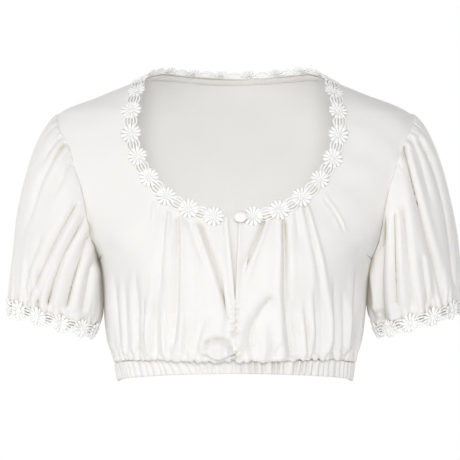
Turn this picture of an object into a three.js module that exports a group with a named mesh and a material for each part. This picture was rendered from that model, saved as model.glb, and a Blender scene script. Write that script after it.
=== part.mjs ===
// A short dirndl blouse as it is worn: jersey fronts, back and puff sleeves, an elastic band
// under the bust, and daisy lace round the neck and the cuffs.
// Millimetres. +X is the wearer's left, -Y the front, +Z up. The origin is the middle of the
// line between the two neck points, where the shoulder seams rest on the wearer.
import * as THREE from "three";

// Cloth and seams
const clothThickness = 1.2;
const laceThickness = 1.0;
const seamGap = 0.4;
const quarterTurn = Math.PI / 2;
const seamAngle = 0.003;

// Waistband
const bandHeight = 19;
const bandBottomAtSide = -337;
const bandRiseAtFront = 14;
const bandRiseAtBack = 4;
const bandThickness = 2.4;
const bandRibs = 84;
const ribHeight = 1.2;

// Neckline: a round scoop, then straps that lean in to the neck points
const neckHalfWidth = 114;
const neckScoopTop = -46;
const neckScoopDrop = 109;
const neckScoopPower = 2.1;
const neckPointHeight = 2;
const neckLeanIn = 10;
const neckCornerAngle = 1.14;
const backNeckHeight = 5.5;
const backNeckRise = 3.5;
const backNeckFall = 7;
const chestLineSag = 6;

// Armhole and shoulder tip
const shoulderTipHeight = -39;
const underarmHeight = -204;
const armholeFrontAngle = 0.637;
const armholeBackAngle = 0.6;

// Slit at the centre front, held by one button, over an underlap. What lies inside the cloth
// keeps a small gap from it.
const slitBottom = -245;
const slitHalfWidth = { right: 8.2, left: 4.2 };
const slitRuching = 1.5;
const underlapStart = 0.25;
const underlapColumns = 2;
const innerGap = 0.5;

// Binding inside the back neck
const bindingWidth = 8;
const bindingThickness = 1;

// Covered buttons
const buttons = [
  { name: "neck_button", radius: 6.7, rise: 4.6, tall: 0.78, x: 6.2, height: -154, standOff: 2.3 },
  { name: "seam_button", radius: 3.2, rise: 2.6, tall: 1, x: 0.2, height: -287.5, standOff: -1.0 },
];
const buttonSides = 12;
const buttonProfile = [
  { across: 0, out: 0 },
  { across: 0.55, out: 0 },
  { across: 0.95, out: 0.22 },
  { across: 1, out: 0.42 },
  { across: 0.78, out: 0.74 },
  { across: 0.4, out: 0.92 },
  { across: 0, out: 0.98 },
];

// Sleeve hem: a ring square to an arm that leans out
const cuffCentre = { x: 203.7, y: 0, z: -263.5 };
const cuffRadiusAcross = 49.5;
const cuffRadiusDeep = 52;
const cuffLean = 0.29;

// Daisy lace
const daisyRadius = 10.5;
const daisyPetals = 5;
const daisyValley = 5.2;
const daisyEye = 0.9;
const laceBridge = 1.6;
const laceLift = 0.7;
const cuffLaceLift = 2.1;
const cuffLaceDrop = 3;
const frontNeckDaisies = 9;
const backNeckDaisies = 8;
const cuffDaisies = 12;

// Sections of the worn cloth, level by level
const bodySections = [
  { height: 14, halfWidth: 88, front: 26, back: 56, power: 2.05 },
  { height: 2, halfWidth: 104, front: 42, back: 68, power: 2.1 },
  { height: -18, halfWidth: 150, front: 56, back: 80, power: 2.3 },
  { height: -39, halfWidth: 197, front: 66, back: 90, power: 2.4 },
  { height: -62, halfWidth: 211, front: 77, back: 98, power: 2.4 },
  { height: -95, halfWidth: 210, front: 90, back: 105, power: 2.4 },
  { height: -123, halfWidth: 200, front: 101, back: 107, power: 2.3 },
  { height: -150, halfWidth: 186, front: 110, back: 106, power: 2.25 },
  { height: -180, halfWidth: 168, front: 118, back: 104, power: 2.2 },
  { height: -204, halfWidth: 153, front: 121, back: 101, power: 2.15 },
  { height: -235, halfWidth: 148, front: 118, back: 97, power: 2.1 },
  { height: -265, halfWidth: 145.5, front: 112, back: 93, power: 2.1 },
  { height: -290, halfWidth: 141.5, front: 104, back: 89, power: 2.1 },
  { height: -304, halfWidth: 137, front: 99, back: 86, power: 2.1 },
  { height: -318, halfWidth: 133, front: 95, back: 83, power: 2.1 },
  { height: -340, halfWidth: 130, front: 94, back: 81, power: 2.1 },
];

// Folds that start under the neck lace. Each one runs through three points of the front view.
// side -1 is the wearer's right. depth is negative for a trough and width is to its edge.
const neckPleats = [
  { side: -1, topX: 72, topZ: -142, midX: 76, midZ: -200, lowX: 84, lowZ: -292, depth: -1.8, width: 9 },
  { side: -1, topX: 58, topZ: -150, midX: 60, midZ: -210, lowX: 62, lowZ: -290, depth: -3.2, width: 9 },
  { side: -1, topX: 44, topZ: -156, midX: 34, midZ: -190, lowX: 26, lowZ: -225, depth: -2.0, width: 9 },
  { side: -1, topX: 34, topZ: -162, midX: 15, midZ: -225, lowX: 3, lowZ: -276, depth: -4.4, width: 8 },
  { side: 1, topX: 30, topZ: -158, midX: 20, midZ: -182, lowX: 8, lowZ: -220, depth: -3.6, width: 8 },
  { side: 1, topX: 54, topZ: -155, midX: 54, midZ: -220, lowX: 62, lowZ: -300, depth: -4.6, width: 10 },
  { side: 1, topX: 75, topZ: -144, midX: 88, midZ: -196, lowX: 100, lowZ: -285, depth: -2.8, width: 11 },
  { side: 1, topX: 96, topZ: -132, midX: 110, midZ: -152, lowX: 122, lowZ: -180, depth: -1.6, width: 8 },
  { side: 1, topX: 42, topZ: -226, midX: 20, midZ: -250, lowX: 16, lowZ: -296, depth: -4.0, width: 11 },
  { side: -1, topX: 26, topZ: -228, midX: 40, midZ: -252, lowX: 46, lowZ: -296, depth: -3.4, width: 10 },
];
const pleatStartFade = 14;
const pleatEndFade = 26;

// Rows of the panels, as shares of their height. The side seam ends at the underarm row.
const frontColumns = 32;
const neckCornerColumn = 20;
const frontSeamRows = [0, 0.013, 0.032, 0.06, 0.11, 0.19, 0.3, 0.43];
const frontUnderarm = 0.56;
const backColumns = 30;
const backNeckColumns = 18;
const backSeamRows = [0, 0.025, 0.07, 0.15, 0.28];
const backUnderarm = 0.42;
const backTopPower = 4;
const degree = Math.PI / 180;
const frontArmholeTurns = [180, 162, 144, 126, 108, 90, 72, 54, 36, 18, 0].map((t) => t * degree);
const backArmholeTurns = [180, 162, 144, 117, 90, 63, 36, 18, 0].map((t) => t * degree);
const frontChestRow = 5;

// Gathers over the waistband
const gatherDepth = 2.2;
const gatherReach = 48;
const gatherRise = 4;

// The front cloth blouses over the band: how far it stands out and hangs down above the seam
const blouseHalfAngle = 0.95;
const blouseProfile = [
  { height: 0, out: 0, drop: 0 },
  { height: 2, out: 3.4, drop: 1.6 },
  { height: 5, out: 6.8, drop: 10.4 },
  { height: 9, out: 8.6, drop: 12 },
  { height: 16, out: 8, drop: 8 },
  { height: 28, out: 4.5, drop: 3 },
  { height: 48, out: 0, drop: 0 },
];

// Two bust curves on a general figure
const bustReach = 9;
const bustHeight = -212;
const bustAngle = 0.66;
const bustSpread = 0.4;
const bustAbove = 52;
const bustBelow = 40;

// Sleeve gathers
const sleeveColumns = 40;
const sleeveRows = [0, 0.06, 0.16, 0.32, 0.52, 0.74, 0.9, 1];
const hemGatherDepth = 2.4;
const capGatherDepth = 2.6;
const sleeveSeamLift = 0.5;

// How the lines down the sleeve leave the armhole and reach the cuff: on top, at the sides, under
const sleeveLines = {
  top: { leaveOut: 106, leaveDown: 40, arriveOut: 0, arriveDown: 190 },
  side: { leaveOut: 95, leaveDown: 110, arriveOut: 0, arriveDown: 110 },
  under: { leaveOut: -8, leaveDown: 50, arriveOut: 30, arriveDown: 62 },
  leaveForward: 85,
  closeIn: 22,
};

// Smooth interpolation through a table, with no overshoot between its rows
function tableCurve(rows, key) {
  const points = [...rows].sort((a, b) => a.height - b.height);
  const slope = points.slice(1).map((p, i) => (p[key] - points[i][key]) / (p.height - points[i].height));
  const tangent = points.map((_, i) => {
    if (i === 0) return slope[0];
    if (i === points.length - 1) return slope[i - 1];
    const product = slope[i - 1] * slope[i];
    return product <= 0 ? 0 : (2 * product) / (slope[i - 1] + slope[i]);
  });
  return (height) => {
    const h = THREE.MathUtils.clamp(height, points[0].height, points[points.length - 1].height);
    let i = 0;
    while (i < points.length - 2 && h > points[i + 1].height) i += 1;
    const span = points[i + 1].height - points[i].height;
    const t = (h - points[i].height) / span;
    const rise = t * t * (3 - 2 * t);
    const startBend = t * (1 - t) * (1 - t) * span * tangent[i];
    const endBend = t * t * (t - 1) * span * tangent[i + 1];
    return points[i][key] * (1 - rise) + points[i + 1][key] * rise + startBend + endBend;
  };
}

const halfWidthAt = tableCurve(bodySections, "halfWidth");
const frontAt = tableCurve(bodySections, "front");
const backAt = tableCurve(bodySections, "back");
const powerAt = tableCurve(bodySections, "power");
const blouseOutAt = tableCurve(blouseProfile, "out");
const blouseDropAt = tableCurve(blouseProfile, "drop");

const smooth = (from, to, value) => THREE.MathUtils.smoothstep(value, from, to);
const bell = (distance) => Math.exp(-distance * distance);

function bandBottom(angle) {
  const rise = Math.cos(angle) > 0 ? bandRiseAtFront : bandRiseAtBack;
  return bandBottomAtSide + rise * Math.abs(Math.cos(angle)) ** 1.1;
}

function bandTop(angle) {
  return bandBottom(angle) + bandHeight;
}

// The worn form. angle runs from the centre front (0) over the side (90 degrees) to the centre back,
// and each level is a superellipse. Above the underarm the side line is the shoulder line.
function formPoint(angle, height) {
  const power = powerAt(height);
  const s = Math.abs(Math.sin(angle));
  const c = Math.cos(angle);
  const reach = (s ** power + Math.abs(c) ** power) ** (-1 / power);
  const depth = c > 0 ? frontAt(height) : backAt(height);
  const bust =
    bustReach *
    bell((angle - bustAngle) / bustSpread) *
    bell((height - bustHeight) / (height > bustHeight ? bustAbove : bustBelow));
  const above = height - bandTop(angle);
  const blousing = bell(angle / blouseHalfAngle);
  const outward = 1 + (blousing * blouseOutAt(above)) / depth;
  return new THREE.Vector3(
    halfWidthAt(height) * reach * s * outward,
    -depth * reach * c * outward - bust,
    height - blousing * blouseDropAt(above),
  );
}

function formNormal(angle, height) {
  const small = 0.004;
  const step = 0.4;
  const round = formPoint(angle + small, height).sub(formPoint(angle - small, height));
  const up = formPoint(angle, height + step).sub(formPoint(angle, height - step));
  return round.cross(up).normalize();
}

// The angle of the form's front at a distance x from the middle
function frontAngle(x, height) {
  const power = powerAt(height);
  const share = Math.min(0.9999, x / halfWidthAt(height)) ** power;
  return Math.atan((share / (1 - share)) ** (1 / power));
}

// Folds under the neckline, as a distance out of the form
function pleatAt(side, x, height) {
  let sum = 0;
  for (const pleat of neckPleats) {
    if (pleat.side !== side) continue;
    const past = (pleat.topZ - height) / (pleat.topZ - pleat.lowZ);
    const bend = (pleat.topZ - pleat.midZ) / (pleat.topZ - pleat.lowZ);
    const line =
      past < bend
        ? THREE.MathUtils.lerp(pleat.topX, pleat.midX, past / bend)
        : THREE.MathUtils.lerp(pleat.midX, pleat.lowX, (past - bend) / (1 - bend));
    const fade =
      smooth(0, pleatStartFade, pleat.topZ - height) * smooth(-pleatEndFade, 0, height - pleat.lowZ);
    const across = (x - line) / pleat.width;
    sum += pleat.depth * fade * (bell(across) - 0.45 * bell(across - 1.6));
  }
  return sum;
}

// Gathers over the band: alternate columns stand out and in, and die away upwards
function gatherAt(column, above) {
  const uneven = 0.75 + 0.25 * Math.sin(column * 2.4);
  const rise = smooth(0, gatherRise, above);
  const reach = gatherReach * (0.8 + 0.35 * Math.sin(column * 1.3));
  return gatherDepth * (column % 2 ? 1 : -1) * uneven * rise * bell(above / reach);
}

// A spot of the cloth: a place on its outer face, and the direction out of it there
function clothSpot(side, angle, height, fold) {
  const out = formNormal(angle, height);
  const place = formPoint(angle, height).addScaledVector(out, fold);
  place.x *= side;
  out.x *= side;
  return { place, out };
}

function under(spot, depth) {
  return spot.place.clone().addScaledVector(spot.out, -depth);
}

// Reads a curve of { angle, height } again by its length on the form
function byLength(curve, samples = 120) {
  const spots = Array.from({ length: samples + 1 }, (_, i) => curve(i / samples));
  const places = spots.map((spot) => formPoint(spot.angle, spot.height));
  const run = [0];
  for (let i = 1; i <= samples; i += 1) run.push(run[i - 1] + places[i].distanceTo(places[i - 1]));
  const total = run[samples];
  const read = (share) => {
    const wanted = THREE.MathUtils.clamp(share, 0, 1) * total;
    let i = 1;
    while (i < samples && run[i] < wanted) i += 1;
    const t = (wanted - run[i - 1]) / (run[i] - run[i - 1] || 1);
    return {
      angle: THREE.MathUtils.lerp(spots[i - 1].angle, spots[i].angle, t),
      height: THREE.MathUtils.lerp(spots[i - 1].height, spots[i].height, t),
    };
  };
  read.total = total;
  return read;
}

// Two curves end to end, joined at a share of the whole
function joined(first, second, at) {
  return (share) => (share <= at ? first(share / at) : second((share - at) / (1 - at)));
}

// Front neckline. turn runs from 0 at the centre front to 90 degrees where the scoop ends.
function scoopSpot(turn) {
  const s = Math.sin(turn);
  const c = Math.max(0, Math.cos(turn));
  const reach = (s ** neckScoopPower + c ** neckScoopPower) ** (-1 / neckScoopPower);
  const height = neckScoopTop - neckScoopDrop * reach * c;
  return { angle: frontAngle(neckHalfWidth * reach * s, height), height };
}

function strapEdgeSpot(share) {
  const height = THREE.MathUtils.lerp(neckScoopTop, neckPointHeight, share);
  const x = neckHalfWidth - neckLeanIn * share ** 1.5;
  return { angle: share >= 1 ? quarterTurn : frontAngle(x, height), height };
}

function slitWidthOf(side) {
  return side < 0 ? slitHalfWidth.right : slitHalfWidth.left;
}

// The neckline of one front: below its corner, above it, and the whole of it for the lace
function frontNeck(side) {
  const start = slitWidthOf(side) / neckHalfWidth;
  const scoop = (from, to) => (t) => scoopSpot(THREE.MathUtils.lerp(from, to, t));
  return {
    lower: byLength(scoop(start, neckCornerAngle)),
    upper: byLength(joined(scoop(neckCornerAngle, quarterTurn), strapEdgeSpot, 0.4)),
    whole: byLength(joined(scoop(start, quarterTurn), strapEdgeSpot, 0.7)),
  };
}

// Back neckline, from the centre back to the neck point
function backNeckSpot(share) {
  return {
    angle: THREE.MathUtils.lerp(Math.PI, quarterTurn, share),
    height: backNeckHeight + backNeckRise * smooth(0, 0.65, share) - backNeckFall * smooth(0.65, 1, share),
  };
}

function shoulderSpot(share) {
  return { angle: quarterTurn, height: THREE.MathUtils.lerp(neckPointHeight, shoulderTipHeight, share) };
}

// Armhole. turn runs from 0 at the shoulder tip to 180 degrees under the arm.
function armholeSpot(turn, front) {
  const middle = (shoulderTipHeight + underarmHeight) / 2;
  const half = (shoulderTipHeight - underarmHeight) / 2;
  const widest = front ? armholeFrontAngle : armholeBackAngle;
  const inward = widest * Math.abs(Math.sin(turn)) ** 0.9 * (1 + 0.2 * Math.cos(turn));
  return {
    angle: quarterTurn + (front ? -inward : inward),
    height: middle + half * Math.cos(turn),
  };
}

// A stretch of the armhole through a panel's own turns, evenly shared out
function armholeStretch(turns, front) {
  return (share) => {
    const step = share * (turns.length - 1);
    const i = Math.min(turns.length - 2, Math.floor(step));
    return armholeSpot(THREE.MathUtils.lerp(turns[i], turns[i + 1], step - i), front);
  };
}

function sideSeamSpot(share) {
  return {
    angle: quarterTurn,
    height: THREE.MathUtils.lerp(bandTop(quarterTurn) + seamGap, underarmHeight, share),
  };
}

// The shares of a panel's rows: its seam rows, then even steps up the armhole
function rowShares(seamRows, underarm, steps) {
  const armholeRows = Array.from({ length: steps + 1 }, (_, k) => underarm + ((1 - underarm) * k) / steps);
  return [...seamRows, ...armholeRows];
}

// Fills a four-sided patch from the curves of its sides. A higher power holds the top curve's
// shape nearer to the top.
function patch(bottom, top, left, right, power = 1) {
  return (p, v) => {
    const w = v ** power;
    const mix = (key) => {
      const ruled = (1 - w) * bottom(p)[key] + w * top(p)[key];
      const crossed = (1 - p) * left(v)[key] + p * right(v)[key];
      const corners =
        (1 - p) * (1 - w) * bottom(0)[key] +
        p * (1 - w) * bottom(1)[key] +
        (1 - p) * w * top(0)[key] +
        p * w * top(1)[key];
      return ruled + crossed - corners;
    };
    return { angle: mix("angle"), height: mix("height") };
  };
}

// Triangles of a grid of columns and rows, closed round on itself if wanted. The first columns,
// up to mirrored, have their diagonals turned the other way.
function gridTriangles(columns, rows, closed, mirrored = 0) {
  const across = closed ? columns : columns + 1;
  const at = (i, j) => j * across + (closed ? i % columns : i);
  const triangles = [];
  for (let j = 0; j < rows; j += 1) {
    for (let i = 0; i < columns; i += 1) {
      const corner = i < mirrored ? at(i, j + 1) : at(i + 1, j + 1);
      const start = i < mirrored ? at(i + 1, j) : at(i, j);
      triangles.push([at(i, j), at(i + 1, j), corner]);
      triangles.push([start, at(i + 1, j + 1), at(i, j + 1)]);
    }
  }
  return triangles;
}

// A closed wall from cloth spots, between two depths under them, and the triangles of one layer.
// A spot's raise lifts its outer point alone.
function wall(spots, triangles, near, far) {
  const count = spots.length;
  const faces = [];
  const edges = new Set();
  for (const [a, b, c] of triangles) {
    faces.push([a, b, c], [a + count, c + count, b + count]);
    edges.add(a + "," + b).add(b + "," + c).add(c + "," + a);
  }
  for (const edge of edges) {
    const [a, b] = edge.split(",").map(Number);
    if (!edges.has(b + "," + a)) faces.push([b, a, a + count], [b, a + count, b + count]);
  }
  const outer = spots.map((spot) => under(spot, near - (spot.raise ?? 0)));
  const inner = spots.map((spot) => under(spot, far));
  const points = [...outer, ...inner];
  const volume = faces.reduce(
    (sum, [a, b, c]) => sum + points[a].dot(points[b].clone().cross(points[c])),
    0,
  );
  const geometry = new THREE.BufferGeometry();
  geometry.setFromPoints(points);
  geometry.setIndex(faces.flatMap(([a, b, c]) => (volume > 0 ? [a, b, c] : [a, c, b])));
  geometry.computeVertexNormals();
  return geometry;
}

// Half front: a lower patch up to the neckline and the chest line, and a strap over the shoulder
function frontPanel(side) {
  const neck = frontNeck(side);
  const lowTurns = frontArmholeTurns.slice(0, frontChestRow + 1);
  const highTurns = frontArmholeTurns.slice(frontChestRow);
  const chestEnd = armholeSpot(frontArmholeTurns[frontChestRow], true);
  const corner = neck.lower(1);
  const chestLine = (t) => ({
    angle: THREE.MathUtils.lerp(corner.angle, chestEnd.angle, t),
    height: THREE.MathUtils.lerp(corner.height, chestEnd.height, t) - chestLineSag * Math.sin(Math.PI * t),
  });
  const start = neck.lower(0);
  const lowest = bandTop(0) + seamGap;
  const centre = (v) => {
    const height = THREE.MathUtils.lerp(lowest, start.height, v);
    const open = Math.max(0, (height - slitBottom) / (start.height - slitBottom));
    return { angle: frontAngle(seamGap / 2 + (slitWidthOf(side) - seamGap / 2) * open, height), height };
  };
  const bottom = (p) => {
    const angle = THREE.MathUtils.lerp(centre(0).angle, quarterTurn, p);
    return { angle, height: bandTop(angle) + seamGap };
  };
  const lower = patch(
    bottom,
    joined(neck.lower, chestLine, neckCornerColumn / frontColumns),
    centre,
    joined(sideSeamSpot, armholeStretch(lowTurns, true), frontUnderarm),
  );
  const strap = patch(chestLine, shoulderSpot, neck.upper, armholeStretch(highTurns, true));
  const rows = rowShares(frontSeamRows, frontUnderarm, lowTurns.length - 1);
  const spots = [];
  const place = ({ angle, height }, column, row) => {
    const x = formPoint(angle, height).x;
    const ruche = column === 0 && height < slitBottom && row % 2 ? slitRuching : 0;
    const fold = gatherAt(column, height - bandTop(angle)) + pleatAt(side, x, height) + ruche;
    spots.push(clothSpot(side, Math.min(angle, quarterTurn - seamAngle), height, fold));
  };
  rows.forEach((v, j) => {
    for (let i = 0; i <= frontColumns; i += 1) place(lower(i / frontColumns, v), i, j);
  });
  const triangles = gridTriangles(frontColumns, rows.length - 1, false);
  const strapRows = highTurns.length - 1;
  const strapColumns = frontColumns - neckCornerColumn;
  const topRow = (rows.length - 1) * (frontColumns + 1) + neckCornerColumn;
  const strapStart = spots.length;
  for (let j = 1; j <= strapRows; j += 1) {
    for (let i = 0; i <= strapColumns; i += 1) place(strap(i / strapColumns, j / strapRows), i, j);
  }
  const at = (i, j) => (j === 0 ? topRow + i : strapStart + (j - 1) * (strapColumns + 1) + i);
  for (let j = 0; j < strapRows; j += 1) {
    for (let i = 0; i < strapColumns; i += 1) {
      triangles.push([at(i, j), at(i + 1, j), at(i + 1, j + 1)]);
      triangles.push([at(i, j), at(i + 1, j + 1), at(i, j + 1)]);
    }
  }
  return { spots, triangles, rows, across: frontColumns + 1 };
}

// The whole back, from side seam to side seam
function backPanel() {
  const bottom = (p) => {
    const angle = THREE.MathUtils.lerp(Math.PI, quarterTurn, p);
    return { angle, height: bandTop(angle) + seamGap };
  };
  const centreHeight = joined(
    (t) => THREE.MathUtils.lerp(bottom(0).height, underarmHeight, t),
    (t) => THREE.MathUtils.lerp(underarmHeight, backNeckHeight, 1 - (1 - t) ** 1.25),
    backUnderarm,
  );
  const half = patch(
    bottom,
    joined(byLength(backNeckSpot), shoulderSpot, backNeckColumns / backColumns),
    (v) => ({ angle: Math.PI, height: centreHeight(v) }),
    joined(sideSeamSpot, armholeStretch(backArmholeTurns, false), backUnderarm),
    backTopPower,
  );
  const rows = rowShares(backSeamRows, backUnderarm, backArmholeTurns.length - 1);
  const spots = [];
  for (const v of rows) {
    for (let i = -backColumns; i <= backColumns; i += 1) {
      const side = i < 0 ? -1 : 1;
      const { angle, height } = half(Math.abs(i) / backColumns, v);
      const fold = gatherAt(i + backColumns, height - bandTop(angle));
      spots.push(clothSpot(side, Math.max(angle, quarterTurn + seamAngle), height, fold));
    }
  }
  const triangles = gridTriangles(2 * backColumns, rows.length - 1, false);
  return { spots, triangles, rows, across: 2 * backColumns + 1 };
}

// Strip under the slit, made from the spots of both fronts that lie over it
function underlapSpots(rightFront, leftFront) {
  const spots = [];
  rightFront.rows.forEach((v, j) => {
    if (v < underlapStart) return;
    const pick = (front, column) => front.spots[j * front.across + column];
    for (let i = underlapColumns; i >= 0; i -= 1) spots.push(pick(rightFront, i));
    for (let i = 0; i <= underlapColumns; i += 1) spots.push(pick(leftFront, i));
  });
  return spots;
}

// Narrow binding inside the back neck, between the spots of the two top rows of the back
function bindingSpots(back) {
  const spots = [];
  const top = (back.rows.length - 1) * back.across;
  for (const drop of [bindingWidth, seamGap]) {
    for (let i = 1 - backNeckColumns; i < backNeckColumns; i += 1) {
      const upper = back.spots[top + backColumns + i];
      const lower = back.spots[top - back.across + backColumns + i];
      const share = Math.min(1, drop / upper.place.distanceTo(lower.place));
      const out = upper.out.clone().lerp(lower.out, share).normalize();
      spots.push({ place: upper.place.clone().lerp(lower.place, share), out });
    }
  }
  return spots;
}

// A place on the armhole seam, between the points that the panels have there
function armholePlace(turn) {
  const front = turn <= Math.PI;
  const down = front ? turn : 2 * Math.PI - turn;
  const turns = front ? frontArmholeTurns : backArmholeTurns;
  let i = 1;
  while (i < turns.length - 1 && down < turns[i]) i += 1;
  const place = (k) => {
    const spot = armholeSpot(turns[k], front);
    return formPoint(spot.angle, spot.height);
  };
  return place(i - 1).lerp(place(i), (turns[i - 1] - down) / (turns[i - 1] - turns[i]));
}

// Where the sleeve starts: just off the armhole, and outside the side seam under the arm
function sleeveStart(turn) {
  const front = turn <= Math.PI;
  const spot = armholeSpot(front ? turn : 2 * Math.PI - turn, front);
  const small = 0.05;
  const start = armholePlace(turn);
  const tangent = armholePlace((turn + small) % (2 * Math.PI)).sub(start).normalize();
  const normal = formNormal(spot.angle, spot.height);
  const away = normal.clone().cross(tangent).normalize();
  const middle = formPoint(quarterTurn, (shoulderTipHeight + underarmHeight) / 2);
  if (away.dot(middle.sub(start)) < 0) away.negate();
  const underArm = (1 - Math.cos(turn)) / 2;
  return start.addScaledVector(away, seamGap).addScaledVector(normal, underArm * sleeveSeamLift);
}

// Sleeve. turn runs round the arm from the top (0) over the front (90 degrees) and the underarm.
// Each line down the sleeve is a cubic from the armhole to the cuff ring.
function sleevePoint(turn, share) {
  const c = Math.cos(turn);
  const s = Math.sin(turn);
  const onTop = ((1 + c) / 2) ** 2;
  const underArm = ((1 - c) / 2) ** 2;
  const beside = 1 - onTop - underArm;
  const blend = (key) =>
    sleeveLines.top[key] * onTop + sleeveLines.side[key] * beside + sleeveLines.under[key] * underArm;
  const leave = new THREE.Vector3(blend("leaveOut"), -s * sleeveLines.leaveForward, -blend("leaveDown"));
  const arrive = new THREE.Vector3(blend("arriveOut"), s * sleeveLines.closeIn, -blend("arriveDown"));
  const end = new THREE.Vector3(
    cuffCentre.x + Math.cos(cuffLean) * cuffRadiusAcross * c,
    cuffCentre.y - cuffRadiusDeep * s,
    cuffCentre.z + Math.sin(cuffLean) * cuffRadiusAcross * c,
  );
  const t = Math.min(share, 1);
  return sleeveStart(turn)
    .multiplyScalar(2 * t ** 3 - 3 * t * t + 1)
    .addScaledVector(leave, t ** 3 - 2 * t * t + t)
    .addScaledVector(end, 3 * t * t - 2 * t ** 3)
    .addScaledVector(arrive, t ** 3 - t * t + Math.max(0, share - 1));
}

function sleeveNormal(turn, share) {
  const small = 0.02;
  const round = sleevePoint(turn + small, share).sub(sleevePoint(turn - small, share));
  const low = Math.max(0, share - small);
  const down = sleevePoint(turn, share + small).sub(sleevePoint(turn, low));
  return round.cross(down).normalize();
}

// Gathers of the sleeve: into the hem all round, and into the cap on top
function sleeveFold(column, turn, share) {
  const sign = column % 2 ? 1 : -1;
  const uneven = 0.75 + 0.25 * Math.sin(column * 2.1);
  const hem = hemGatherDepth * bell((1 - share) / 0.34) * (0.45 + 0.55 * smooth(0, 0.12, 1 - share));
  const onTop = smooth(-0.35, 0.35, Math.cos(turn));
  const cap = capGatherDepth * onTop * bell((share - 0.1) / 0.16) * smooth(0, 0.05, share);
  return sign * uneven * (hem + cap);
}

function sleeveSpot(side, turn, share, fold) {
  const out = sleeveNormal(turn, Math.min(share, 1));
  const place = sleevePoint(turn, share).addScaledVector(out, fold);
  place.x *= side;
  out.x *= side;
  return { place, out };
}

function sleeveSpots(side) {
  const spots = [];
  for (const share of sleeveRows) {
    for (let i = 0; i < sleeveColumns; i += 1) {
      const turn = (2 * Math.PI * i) / sleeveColumns;
      spots.push(sleeveSpot(side, turn, share, sleeveFold(i, turn, share)));
    }
  }
  return spots;
}

// Elastic casing: a ring with a rib for each little gather, plain on the inside
function waistbandGeometry() {
  const columns = bandRibs * 2;
  const ring = (share) =>
    Array.from({ length: columns }, (_, i) => {
      const turn = (2 * Math.PI * (i + 0.18 * Math.sin(i * 1.9))) / columns;
      const side = turn > Math.PI ? -1 : 1;
      const angle = side < 0 ? 2 * Math.PI - turn : turn;
      const raise = i % 2 ? ribHeight * (0.8 + 0.2 * Math.sin(i * 1.1)) : 0;
      return { ...clothSpot(side, angle, bandBottom(angle) + bandHeight * share, 0), raise };
    });
  return wall([...ring(0), ...ring(1)], gridTriangles(columns, 1, true), 0, bandThickness);
}

// One daisy and its two bridges, flat: along the edge and across it
function daisyOutline(pitch) {
  const upper = [];
  const petalStep = Math.PI / (daisyPetals + 1);
  for (let k = 0; k <= 2 * daisyPetals; k += 1) {
    const turn = petalStep * (0.5 + k / 2);
    const radius = k % 2 ? daisyRadius : daisyValley;
    upper.push([radius * Math.cos(turn), radius * Math.sin(turn)]);
  }
  const lower = upper.map(([along, across]) => [-along, -across]);
  const end = pitch / 2;
  return [
    [end, laceBridge],
    ...upper,
    [-end, laceBridge],
    [-end, -laceBridge],
    ...lower,
    [end, -laceBridge],
  ];
}

// A strip of daisies. spotAt(along, across) puts a flat point onto the garment.
function laceGeometry(length, count, spotAt) {
  const pitch = length / count;
  const outline = daisyOutline(pitch);
  const spots = [];
  const triangles = [];
  const seen = new Map();
  const add = (along, across, raise) => {
    const key = along.toFixed(2) + "," + across.toFixed(2);
    if (!seen.has(key)) {
      seen.set(key, spots.length);
      spots.push({ ...spotAt(along, across), raise });
    }
    return seen.get(key);
  };
  for (let flower = 0; flower < count; flower += 1) {
    const middle = (flower + 0.5) * pitch;
    const centre = add(middle, 0, daisyEye);
    const ring = outline.map(([along, across]) => add(middle + along, across, 0));
    ring.forEach((corner, k) => triangles.push([centre, corner, ring[(k + 1) % ring.length]]));
  }
  return wall(spots, triangles, -laceThickness, 0);
}

// A flat lace point on an edge of the body. Above the edge the lace goes straight on, and
// below it the point walks down the form. upward is -1 where the edge runs the other way round.
function edgeLaceSpot(side, edge, upward, along, across) {
  const spot = edge(along / edge.total);
  const ahead = edge(Math.min(1, along / edge.total + 0.01));
  const behind = edge(Math.max(0, along / edge.total - 0.01));
  const tangent = formPoint(ahead.angle, ahead.height)
    .sub(formPoint(behind.angle, behind.height))
    .normalize();
  const normal = formNormal(spot.angle, spot.height);
  const open = normal.clone().cross(tangent).multiplyScalar(upward).normalize();
  if (across >= 0) {
    const place = formPoint(spot.angle, spot.height).addScaledVector(open, across);
    place.addScaledVector(normal, laceLift);
    place.x *= side;
    normal.x *= side;
    return { place, out: normal };
  }
  const walk = { ...spot };
  const steps = 4;
  const small = 0.002;
  const step = 0.2;
  for (let k = 0; k < steps; k += 1) {
    const round = formPoint(walk.angle + small, walk.height)
      .sub(formPoint(walk.angle - small, walk.height))
      .multiplyScalar(0.5 / small);
    const up = formPoint(walk.angle, walk.height + step)
      .sub(formPoint(walk.angle, walk.height - step))
      .multiplyScalar(0.5 / step);
    const move = open.clone().multiplyScalar(across / steps);
    const rr = round.dot(round);
    const ru = round.dot(up);
    const uu = up.dot(up);
    const scale = rr * uu - ru * ru;
    walk.angle += (move.dot(round) * uu - move.dot(up) * ru) / scale;
    walk.height += (move.dot(up) * rr - move.dot(round) * ru) / scale;
  }
  return clothSpot(side, walk.angle, walk.height, laceLift);
}

function frontNeckLace(side) {
  const edge = frontNeck(side).whole;
  return laceGeometry(edge.total - 2 * seamGap, frontNeckDaisies, (along, across) =>
    edgeLaceSpot(side, edge, 1, along + seamGap, across),
  );
}

function backNeckLace() {
  const edge = byLength(backNeckSpot);
  const half = edge.total - seamGap;
  return laceGeometry(2 * half, backNeckDaisies, (along, across) =>
    edgeLaceSpot(along < half ? -1 : 1, edge, -1, Math.abs(along - half), across),
  );
}

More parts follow.
